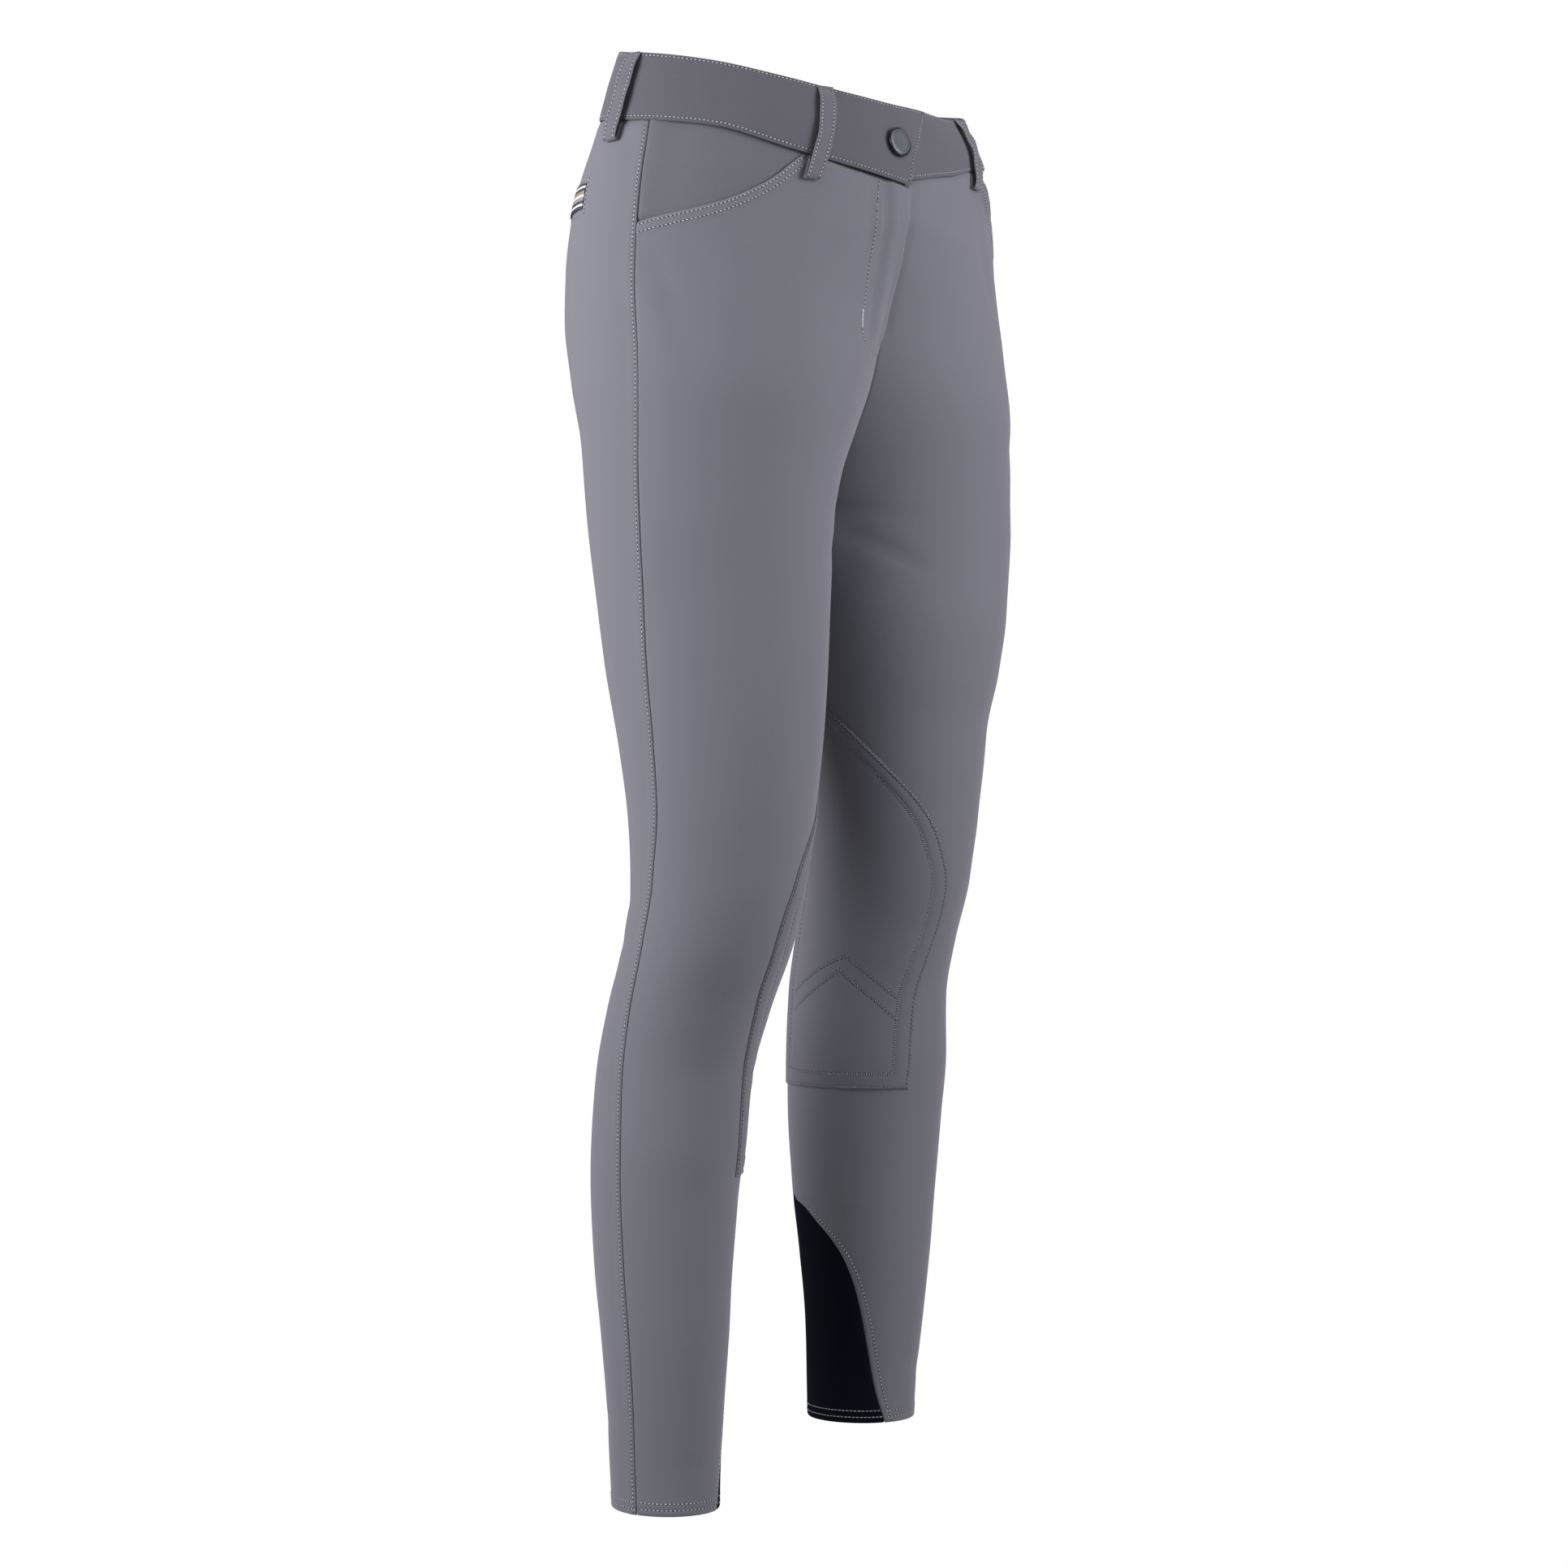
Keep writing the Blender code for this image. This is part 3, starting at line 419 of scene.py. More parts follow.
def folds_at(side, points):
    """Height of the folds at points of the right half's surface, for the given side."""
    height = np.zeros(points.shape[:-1])
    for fold in FOLDS:
        if fold.side != side:
            continue
        ring_point = torso_point if fold.form == "hip" else leg_point
        steps = np.linspace(0.0, 1.0, 13)
        path = ring_point(fold.angle + (fold.end_angle - fold.angle) * steps,
                          fold.z + (fold.end_z - fold.z) * steps)
        path[:, 2] += fold.bow * np.sin(np.pi * steps)
        path[:, :2] *= 1 + (fold.bow * np.sin(np.pi * steps) / 0.15)[:, None]
        near = np.linalg.norm(points.reshape(-1, 3)[:, None] - path[None], axis=-1)
        closest = near.argmin(1)
        taper = np.sin(np.pi * np.clip((closest + 0.7) / 13.4, 0, 1)) ** 0.7
        height += (fold.height * taper * np.exp(-(near.min(1) / fold.width) ** 2)).reshape(height.shape)
    return height


def shell_mesh(name, outer, thickness, uv, flip):
    """A closed cloth wall from a grid of its outer points, with each point's flat place on the cut as UV."""
    rows, cols = outer.shape[:2]
    normal = normals_of(outer) * (-1 if flip else 1)
    inner = outer - normal * np.reshape(thickness, np.shape(thickness) + (1,) * (3 - np.ndim(thickness)))
    points = np.concatenate([outer.reshape(-1, 3), inner.reshape(-1, 3)])
    index = np.arange(rows * cols).reshape(rows, cols)
    back = index + rows * cols

    def strip(a, b, c, d):
        return np.stack([a.ravel(), b.ravel(), c.ravel(), d.ravel()], -1)
    faces = [strip(index[:-1, :-1], index[1:, :-1], index[1:, 1:], index[:-1, 1:]),
             strip(back[:-1, :-1], back[:-1, 1:], back[1:, 1:], back[1:, :-1]),
             strip(index[0, :-1], index[0, 1:], back[0, 1:], back[0, :-1]),
             strip(index[-1, 1:], index[-1, :-1], back[-1, :-1], back[-1, 1:]),
             strip(index[1:, 0], index[:-1, 0], back[:-1, 0], back[1:, 0]),
             strip(index[:-1, -1], index[1:, -1], back[1:, -1], back[:-1, -1])]
    faces = np.concatenate(faces)
    if flip:
        faces = faces[:, ::-1]
    mesh = bpy.data.meshes.new(name)
    mesh.from_pydata(points.tolist(), [], faces.tolist())
    corners = mesh.uv_layers.new(name="cut")
    flat = np.concatenate([uv.reshape(-1, 2)] * 2)[faces.ravel()]
    corners.data.foreach_set("uv", flat.astype(np.float32).ravel())
    mesh.shade_smooth()
    mesh.set_sharp_from_angle(angle=math.radians(50))
    return mesh


def lifted(base, lift):
    """A surface's points, moved out of it."""
    return base + normals_of(base) * lift[..., None]


def flat(across, along):
    """Where a sheet's points lie on its cut."""
    return np.stack(np.broadcast_arrays(across, along), -1)


def put(name, mesh, material, node=None, slot="main_cloth"):
    """Links a finished mesh as a piece that rides with the garment."""
    piece = bpy.data.objects.new(name, mesh)
    bpy.context.scene.collection.objects.link(piece)
    if material is not None:
        mesh.materials.append(material)
    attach(piece, "root")
    if node:
        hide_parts(node)
    return piece


def arc_lengths(grid, axis):
    """Distance run along one axis of a grid of points, from its start."""
    steps = np.linalg.norm(np.diff(grid, axis=axis), axis=-1)
    start = np.zeros_like(np.take(steps, [0], axis=axis))
    return np.concatenate([start, np.cumsum(steps, axis=axis)], axis=axis)


def cloth(name, side, surface, wall, cut, material, held, rests_on=(), facing=1, **ride):
    """A sheet over a surface of the right half, placed on its side, with its cut as its UV map.

    facing is -1 where the surface's columns run round the other way, as on a back panel. What comes back are
    the sheet's outer points, and its facing where it was placed.
    """
    outer = placed(side, surface)
    facing *= 1 if side == "right" else -1
    piece = put(name, shell_mesh(name, outer, wall, cut, flip=facing < 0), material, **ride)
    return {"outer": outer, "facing": facing}


# Cloth material: a dense bi-stretch cloth with a fine pebbled grain, a dry sheen and very slight unevenness
# of dye. The grain is laid out on each piece's own cut.
grain = bpy.data.node_groups.new("cloth grain", "ShaderNodeTree")
for title, kind, default in (("Colour", "NodeSocketColor", (0.5, 0.5, 0.5, 1.0)),
                             ("Threads per Metre", "NodeSocketFloat", 1500.0),
                             ("Grain Depth", "NodeSocketFloat", 0.00006),
                             ("Unevenness", "NodeSocketFloat", 0.06)):
    grain.interface.new_socket(title, in_out="INPUT", socket_type=kind).default_value = default
grain.interface.new_socket("Colour", in_out="OUTPUT", socket_type="NodeSocketColor")
grain.interface.new_socket("Normal", in_out="OUTPUT", socket_type="NodeSocketVector")
given = grain.nodes.new("NodeGroupInput").outputs
cut_map = add_node(grain, "ShaderNodeUVMap", uv_map="cut").outputs[0]
pebble = add_node(grain, "ShaderNodeTexNoise", {"Vector": cut_map, "Scale": given["Threads per Metre"],
                                                "Detail": 2.0, "Roughness": 0.6})
twill_scale = add_node(grain, "ShaderNodeMath", {0: given["Threads per Metre"], 1: 0.3}, operation="MULTIPLY")
twill = add_node(grain, "ShaderNodeTexWave", {"Vector": cut_map, "Scale": twill_scale.outputs[0],
                                              "Distortion": 1.2, "Detail": 1.0},
                 wave_type="BANDS", bands_direction="DIAGONAL")
weave = add_node(grain, "ShaderNodeMix", {0: 0.10, 2: pebble.outputs["Fac"], 3: twill.outputs["Fac"]})
level = add_node(grain, "ShaderNodeMapRange", {"Value": weave.outputs[0], "From Min": 0.3, "From Max": 0.7,
                                               "To Min": 0.88, "To Max": 1.12})
dye = add_node(grain, "ShaderNodeTexNoise", {"Vector": cut_map, "Scale": 7.0, "Detail": 2.0})
drift = add_node(grain, "ShaderNodeMath", {0: dye.outputs["Fac"], 1: 0.5}, operation="SUBTRACT")
shade = add_node(grain, "ShaderNodeMath", {0: drift.outputs[0], 1: given["Unevenness"], 2: level.outputs[0]},
                 operation="MULTIPLY_ADD")
tinted = add_node(grain, "ShaderNodeVectorMath", {0: given["Colour"], "Scale": shade.outputs[0]},
                  operation="SCALE")
raised = add_node(grain, "ShaderNodeBump", {"Strength": 1.0, "Height": weave.outputs[0],
                                            "Distance": given["Grain Depth"]})
add_node(grain, "NodeGroupOutput", {"Colour": tinted.outputs[0], "Normal": raised.outputs[0]})


def cloth_material(name, colour, roughness=0.80, sheen=0.45, threads=1500.0, depth=0.00007, uneven=0.06,
                   gloss=0.25):
    """A woven cloth: the shared grain in this cloth's own colour, thread count, depth and sheen."""
    material, tree, shader = new_material(name)
    own = {"Colour": (*colour, 1.0), "Threads per Metre": threads, "Grain Depth": depth, "Unevenness": uneven}
    woven = add_node(tree, "ShaderNodeGroup", own, node_tree=grain).outputs
    wire(tree, shader, {"Base Color": woven["Colour"], "Normal": woven["Normal"], "Roughness": roughness,
                        "Sheen Weight": sheen, "Sheen Roughness": 0.45, "Sheen Tint": (0.88, 0.80, 0.92, 1.0),
                        "Specular IOR Level": gloss})
    return material


breeches_cloth = cloth_material("breeches_cloth", (0.126, 0.127, 0.152), 0.78, 0.50)

PANEL_COLUMNS = {"front": 58, "back": 50}
EDGE_STEPS = [0.0, 0.0005, 0.0011, 0.0019, 0.003, 0.0045, 0.0065, 0.0095]
NARROW = 0.042             # the width below which a sheet's columns are drawn closer together
HEM_ROWS = (0.0042, 0.0086)
HEM_STEPS = [0.0, 0.0005, 0.0011, 0.0019, 0.003, 0.0036, 0.0042, 0.0048, 0.0066, 0.008, 0.0086, 0.0092, 0.012,
             0.016]
TOP_SHARES = [0.0, 0.02, 0.05, 0.09, 0.13, 0.18, 0.24, 0.31, 0.39, 0.48, 0.58, 0.69, 0.8, 0.9]
SIDE_ROW, INSERT_ROW, CENTRE_ROW = 0.0020, 0.0050, 0.0030    # topstitching's distances from its seams
MOUTH_ROWS, MOUTH_ALLOWANCE = (0.0020, 0.0070), 0.0078
MOUTH_END = 58.5           # the angle round the hip at which the pocket's mouth goes into the waistband
panels = {}


def panel_rows():
    """Places down a panel: close together under the band and at the hem, about 4 mm apart between."""
    rows = [-TOP_STEPS * (1 - share) for share in TOP_SHARES]
    depth = [row.side_z for row in COURSES]
    for low in range(len(COURSES) - 1):
        count = max(1, round((depth[low] - depth[low + 1]) / 0.0040))
        rows += [low + i / count for i in range(count)]
    last = len(COURSES) - 1
    span = depth[-2] - depth[-1]
    rows = [row for row in rows if row < last - HEM_STEPS[-1] / span - 0.1]
    return np.array(rows + [last - step / span for step in reversed(HEM_STEPS)])


def set_out(fine, near, count):
    """Columns across a sheet: at the near distances from its first edge, at EDGE_STEPS from its last.

    Where the sheet is narrow the distances shrink with it. What comes back are the points, and how far each
    lies from the first and from the last edge.
    """
    run = arc_lengths(fine, 1)
    length = run[:, -1:]
    squeeze = np.minimum(1.0, length / NARROW)
    near, far = np.array(near) * squeeze, np.array(EDGE_STEPS[::-1]) * squeeze
    room = length - near[:, -1:] - far[:, :1]
    at = np.concatenate([near, near[:, -1:] + room * np.linspace(0, 1, count)[1:-1], length - far], 1)
    return np.stack([sampled(*line) for line in zip(fine, run, at)]), at, length - at


def rolled(distance, deep, reach):
    """How far an edge is turned down, at some distance from it."""
    return deep * np.clip(1 - distance / reach, 0, 1) ** 2


def groove(distance, at, width=0.0009):
    """1 where a stitched row pulls the cloth in, falling away to both sides."""
    return np.exp(-((distance - at) / width) ** 2)


def panel(side, face):
    """A front or back panel on its solid's form, with rolled edges, raised seam allowances and folds."""
    places = panel_rows()
    fine = panel_point(face, np.linspace(0.0, 1.0, 241)[None], places[:, None])
    count = PANEL_COLUMNS[face]
    grid, from_side, from_inner = set_out(fine, EDGE_STEPS, count)
    from_top = arc_lengths(grid, 0)
    facing = -1
    if face == "front":
        facing = 1
        at_angle = np.degrees(np.arccos(np.clip(-grid[..., 0] / 0.16, 0, 1)))
        grid[..., 2] += end_rise(side, at_angle) * ramp(from_top, 0.020)
    normal = normals_of(grid) * facing
    from_hem = from_top[-1:] - from_top
    z = grid[..., 2]
    above_fly_end = np.clip((z - FLY_END_Z) / FLY_FADE, 0, 1)
    hip_angle = np.degrees(np.arctan2(-grid[..., 1] / HIP_DEPTH, -grid[..., 0] / HIP_HALF_WIDTH))
    lift = CLOTH + folds_at(side, grid) - rolled(from_inner, 0.0007, 0.0018)
    lift += 0.0004 * ramp(from_hem - 0.0105, 0.0015) - rolled(from_hem, 0.0007, 0.0015)
    lift -= 0.0002 * sum(groove(from_hem, row) for row in HEM_ROWS)
    lift -= 0.00025 * groove(from_inner, INSERT_ROW) * np.clip((INSERT_TOP - z) / 0.006, 0, 1)
    under_band = 0.0021 * ramp(from_top - TUCK - 0.0002, 0.0016)
    if face == "back":
        lift += 0.0006 * ramp(from_side - 0.0035, 0.006) - rolled(from_side, 0.0007, 0.0009)
        lift -= 0.0002 * groove(from_side, 0.0018, 0.0006) + under_band
    else:
        pocket = ramp(hip_angle[:1] - MOUTH_END, 2.5)
        edge = 0.0004 * ramp(from_top - MOUTH_ALLOWANCE, 0.0012) - rolled(from_top, 0.0008, 0.0015)
        lift += pocket * edge - (1 - pocket) * under_band - rolled(from_side, 0.0006, 0.0014)
        if side == "left":
            lift -= 0.0012 * groove(from_inner, 0.0030, 0.0032) * above_fly_end
    outer = grid + normal * lift[..., None]
    meeting = ramp(places - CROTCH_PLACE, 2.2)[:, None] * ramp(from_inner, 0.040)
    outer[..., 0] -= outer[:, -1:, 0] * meeting
    centre = -0.00002
    if side == "right" and face == "front":
        full = 0.45 + 0.80 * np.clip(from_inner / FLY_WIDTH, 0, 1)
        raised = full * ramp(from_inner - FLY_WIDTH, FLY_SLOPE)
        outer += normal * (FLY_RISE * raised * above_fly_end)[..., None]
        reach = 0.0030 * ramp(z + 0.108, 0.024) * ramp(-0.150 - z, 0.018) * ramp(from_inner, 0.004)
        reach *= z > FLY_END_Z - 0.010
        outer[..., 0] += reach
        centre = centre + reach
    outer[..., 0] = np.minimum(outer[..., 0], centre)
    cut = flat(from_side - from_side[:, -1:] / 2, -from_top[:, count // 2][:, None])
    panels[face, side] = {
        **cloth(f"{face}_{side}_cloth", side, outer, CLOTH - 0.0001, cut, breeches_cloth, "hung",
                facing=facing, node=f"{face}_{side}"),
        "from_side": from_side, "from_inner": from_inner, "from_top": from_top, "from_hem": from_hem,
        "hip_angle": hip_angle, "z": z}


for side in ("right", "left"):
    for face in ("front", "back"):
        panel(side, face)


# ---- Seam allowances: the panels' overlocked edges, turned in behind the side seam, the inner seam and both
# edges of the calf insert, so that a seam is closed from behind.
ALLOWANCE = 0.0110
spread = np.linspace(-0.5, 0.5, 7)[None] * ALLOWANCE

for side in ("right", "left"):
    z = np.linspace(-0.300, HEM_Z + 0.0006, 150)[:, None]
    low, inner = z[z[:, 0] < INSERT_TOP], np.linspace(-0.268, -0.785, 130)[:, None]
    seams = {"side": (z, side_seam(z)), "inner": (inner, inseam(inner)),
             "insert_front": (low, insert_edge["front"](low)), "insert_back": (low, insert_edge["back"](low))}
    for place, (level, angle) in seams.items():
        radius = np.linalg.norm(leg_point(angle + 1, level) - leg_point(angle, level), axis=-1)
        base = leg_point(angle + spread / radius, level)
        inside = base - normals_of(base) * 0.00025
        if place == "inner":
            down = np.interp(-level, [-row.inner_z for row in COURSES], [row.place for row in COURSES])
            inside[..., 0] -= (inside[:, 3:4, 0] + 0.0009) * ramp(down - CROTCH_PLACE, 2.2)
        cloth(f"allowance_{place}_{side}", side, inside, 0.0006, flat(spread, level), breeches_cloth, "hung")


# ---- Pocket bearers: the hip piece of the same cloth that shows in the slant pocket's mouth, a little lower
# than the front panel. It comes up to the back panel's edge at the side seam and runs down inside the pocket.
BEARER_GAP = 0.0010
POCKET_UNDERLAP = 0.008
bearer_cloth = cloth_material("pocket_bearer_cloth", (0.102, 0.103, 0.123))

for side in ("right", "left"):
    angles = np.linspace(13.7, 62.5, 64)[None]
    top = band_edge["low"](angles) + 0.0022
    foot = np.minimum(mouth_z(angles), band_edge["low"](angles)) - POCKET_UNDERLAP
    z = top + (foot - top) * np.linspace(0, 1, 34)[:, None]
    base = torso_point(angles, z)
    from_seam, from_top = arc_lengths(base, 1), arc_lengths(base, 0)
    above_mouth = ramp(mouth_z(angles) + 0.0045 - z, 0.006)
    lift = -BEARER_GAP + 0.0023 * ramp(from_seam, 0.022) * above_mouth - rolled(from_seam, 0.0006, 0.0012)
    lift += 0.0007 * np.exp(-((from_seam - 0.036) / 0.012) ** 2) * ramp(from_top, 0.03) * above_mouth
    cloth(f"pocket_bearer_{side}_cloth", side, lifted(base, lift), 0.0011,
          flat(from_seam, -from_top), bearer_cloth, "laid", [f"front_{side}_cloth"],
          node=f"pocket_bearer_{side}")


# ---- Knee patches: a second layer of the same cloth on the inner side of each knee, laid over the front
# panel. Zigzag rows hold its edge and a line 13 mm inside it, and two chevron rows cross it near the foot.
PATCH_CLOTH = 0.0010
PATCH_EDGE = table(
    "z angle",
    (-0.404, 212.0), (-0.418, 201.5), (-0.43, 191.5), (-0.4417, 181.0), (-0.4552, 168.0), (-0.4683, 157.0),
    (-0.4818, 145.2), (-0.4946, 133.5), (-0.5123, 118.5), (-0.5264, 109.5), (-0.5447, 101.0), (-0.5577, 95.8),
    (-0.575, 93.3), (-0.592, 93.0), (-0.615, 96.5), (-0.6478, 103.0), (-0.675, 105.5), (-0.715, 107.5),
)
PATCH_FOOT = -0.7150
PATCH_RISE = {"right": 0.025, "left": 0.0}
PATCH_RISE_FROM, PATCH_RISE_TO = -0.640, -0.530
ROW_INSETS, FOOT_INSET = (0.0018, 0.0130), 0.0110    # from a patch's edge to its two rows
PATCH_STEPS, PATCH_COLUMNS = [0.0112, 0.0121, 0.0130, 0.0139, 0.0150, 0.0180], 30
patch_edge = smooth(PATCH_EDGE, "angle")
patch_cloth = cloth_material("knee_patch_cloth", (0.120, 0.120, 0.145))
patches = {}

for side in ("right", "left"):
    level = np.concatenate([np.linspace(-0.4130, -0.4420, 16)[:-1], np.linspace(-0.4420, -0.7060, 92)[:-1],
                            PATCH_FOOT + np.array(EDGE_STEPS[::-1]) * 0.94])[:, None]
    rising = np.clip((level - PATCH_RISE_FROM) / (PATCH_RISE_TO - PATCH_RISE_FROM), 0, 1)
    z = level + PATCH_RISE[side] * rising
    first = patch_edge(level)
    sweep = inseam(z) - 2.0 - first
    fine = leg_point(first + sweep * np.linspace(0, 1, 161)[None], z)
    base, from_front, from_back = set_out(fine, EDGE_STEPS + PATCH_STEPS, PATCH_COLUMNS)
    from_foot = z - PATCH_FOOT
    width = from_front[:, -1:]
    patch_angle = first + sweep * from_front / width
    edge = np.minimum(np.minimum(from_front, from_back), from_foot)
    lift = CLOTH + 0.0002 + PATCH_CLOTH + folds_at(side, base) - rolled(edge, 0.0007, 0.0010)
    lift += 0.0004 * np.exp(-((edge - 0.0080) / 0.0040) ** 2) - 0.0003 * groove(edge, ROW_INSETS[1], 0.0016)
    patches[side] = {
        **cloth(f"knee_patch_{side}_cloth", side, lifted(base, lift), PATCH_CLOTH,
                flat(from_front - width / 2, z), patch_cloth, "laid", [f"front_{side}_cloth"],
                node=f"knee_patch_{side}"),
        "from_front": from_front, "from_back": from_back, "from_foot": from_foot, "z": z,
        "angle": patch_angle}


# ---- Calf inserts: fine dark stretch cloth let in between front and back panel on the inner side of the
# lower leg, so that a boot goes over it smoothly. It starts in a point at the inner seam and is hemmed with
# the leg.
insert_cloth = cloth_material("calf_insert_cloth", (0.0016, 0.0023, 0.0068), 0.70, 0.0, 2200.0, 0.00004,
                              uneven=0.03, gloss=0.07)
inserts = {}

for side in ("right", "left"):
    z = np.concatenate([np.linspace(-0.7875, -0.930, 60), HEM_Z + np.array(EDGE_STEPS[-2::-1])])[:, None]
    first, last = insert_edge["front"](z) + 0.3, insert_edge["back"](z) - 0.3
    angles = first + (last - first) * np.linspace(0, 1, 44)[None]
    base = leg_point(angles, z)
    from_front = arc_lengths(base, 1)
    from_edge = np.minimum(from_front, from_front[:, -1:] - from_front)
    lift = CLOTH - 0.0005 * np.clip(1 - from_edge / 0.003, 0, 1) - rolled(z - HEM_Z, 0.0007, 0.0015)
    inserts[side] = {
        **cloth(f"calf_insert_{side}_cloth", side, lifted(base, lift), 0.0011,
                flat(from_front - from_front[:, -1:] / 2, z), insert_cloth, "stretched",
                node=f"calf_insert_{side}", slot="stretch_insert"), "z": z}


# ---- Waistband: two halves of doubled cloth, seamed at the back and lapped right over left at the front,
# where the right one ends in a slant. Topstitching runs round it 2 to 3 mm inside its edges; the panels go up
# into it.
BAND_CLOTH = 0.0024
BAND_RISE = BAND_CLOTH + 0.0004
BAND_LAP = table(
    "share reach",
    (0.0, -0.0012), (0.26, 0.0022), (0.58, 0.0115), (1.0, 0.0285),
)
BAND_UNDERLAP = 0.0120
BAND_STEP = (62.0, 84.5)     # the angles over which the right half rises over the left
BAND_LIFT, BAND_LIFT_ANGLE = 0.0026, 80.0    # how the left half's top is drawn up beside the lap, and where
BAND_ROWS = {"from_top": 0.0021, "from_low": 0.0024}
BAND_END_ROW = 0.0030
END_STEPS = [0.0075, 0.0058, 0.0044, 0.0036, 0.0030, 0.0024, 0.0017, 0.0011, 0.0006, 0.0002, 0.0]
band_cloth = cloth_material("waistband_cloth", (0.082, 0.081, 0.097), sheen=0.40)
lap_reach = smooth(BAND_LAP, "reach")
bands = {}

for side in ("right", "left"):
    tall_end = band_edge["top"](90.0) - band_edge["low"](90.0) + BAND_COVER
    edge_steps = np.array(EDGE_STEPS)
    shares = np.concatenate([1 - edge_steps / tall_end, np.linspace(1, 0, 16)[1:-1]
                             * (1 - 2 * edge_steps[-1] / tall_end) + edge_steps[-1] / tall_end,
                             edge_steps[::-1] / tall_end])[:, None]
    reach = lap_reach(shares) if side == "right" else BAND_UNDERLAP + 0 * shares
    end = 90 + np.degrees(np.arcsin(reach / TORSO[2].half_width))
    along = np.concatenate([np.linspace(0, 0.90, 140), np.linspace(0.90, 0.97, 22)[1:],
                            1 - np.array(END_STEPS) / 0.27])[None]
    angles = -89.99 + (end + 89.99) * along
    top = band_edge["top"](angles)
    if side == "left":
        top = top + BAND_LIFT * ramp(BAND_LIFT_ANGLE - angles, 18.0) * ramp(angles - BAND_LIFT_ANGLE, 5.0)
    low = band_edge["low"](angles) - BAND_COVER + end_rise(side, angles)
    z = low + (top - low) * shares
    base = torso_point(angles, z)
    from_edge = np.minimum(top - z, z - low)
    from_back = arc_lengths(base, 1)
    from_end = from_back[:, -1:] - from_back
    lift = BAND_CLOTH - rolled(from_edge, 0.0009, 0.0016)
    lift -= 0.0003 * groove(from_edge, BAND_ROWS["from_top"], 0.0007)
    lift += 0.0005 * np.clip((from_edge - 0.003) / 0.02, 0, 1) - rolled(from_back, 0.0004, 0.0015)
    lift -= rolled(from_end, 0.0008, 0.0014) + 0.0003 * groove(from_end, BAND_END_ROW)
    run = np.radians(angles) * 0.14
    lift += 0.0003 * np.sin(run * 130 + 0.6) * np.sin(run * 47 + 1.1) * np.clip(from_edge / 0.012, 0, 1)
    if side == "right":
        lift += BAND_RISE * swell((angles - BAND_STEP[0]) / (BAND_STEP[1] - BAND_STEP[0]))
    wall = 0.0021 - 0.0011 * ramp(z - low, 0.007)
    bands[side] = {
        **cloth(f"waistband_{side}_cloth", side, lifted(base, lift), wall,
                flat(from_back, z - low), band_cloth, "hung", node=f"waistband_{side}"),
        "from_top": top - z, "from_low": z - low, "from_end": from_end}


# ---- Belt loops: five straps of folded cloth with a row along each edge. Each is caught into the waistband's
# top edge, stands off to let a belt through, folds under below the band and goes back up into its seam.
STRAP_CLOTH = 0.0014
LOOP_WIDTH, LOOP_STAND = 0.0120, 0.0036
LOOPS = table(
    "name side top_angle foot_angle drop sway lean",
    ("loop_front_right", "right", 67.5, 61.3, 0.0167, 0.0005, 0.14),
    ("loop_front_left", "left", 57.5, 61.5, 0.013, 0.0005, -0.12),
    ("loop_side_right", "right", 3.5, -1.0, 0.015, 0.0007, -0.16),
    ("loop_side_left", "left", 2.0, -3.0, 0.0165, 0.0006, -0.14),
    ("loop_back", "right", -90.0, -90.0, 0.0165, 0.0004, 0.06),
)
LOOP_COLUMNS = np.array([-0.5, -0.47, -0.42, -0.34, -0.17, 0.0, 0.17, 0.34, 0.42, 0.47, 0.5])
strap_cloth = cloth_material("belt_loop_cloth", (0.110, 0.108, 0.128))
straps = {}


def flowing(values, count):
    """A smooth curve through a short list of points, sampled evenly between them."""
    values = np.array(values, float)
    padded = np.concatenate([2 * values[:1] - values[1:2], values, 2 * values[-1:] - values[-2:-1]])
    result = []
    for i in range(len(values) - 1):
        a, b, c, d = padded[i:i + 4]
        for t in np.linspace(0, 1, count, endpoint=False):
            result.append(0.5 * (2 * b + (c - a) * t + (2 * a - 5 * b + 4 * c - d) * t * t
                                 + (3 * b - a - 3 * c + d) * t ** 3))
    return np.array(result + [values[-1]])


def torso_frame(angle, z):
    """Points of the right half's hip rings, with the ways round and out of the surface there."""
    across = unit(torso_point(angle + 0.5, z) - torso_point(angle - 0.5, z))
    down = torso_point(angle, z - 0.002) - torso_point(angle, z + 0.002)
    return torso_point(angle, z), across, unit(np.cross(down, across))


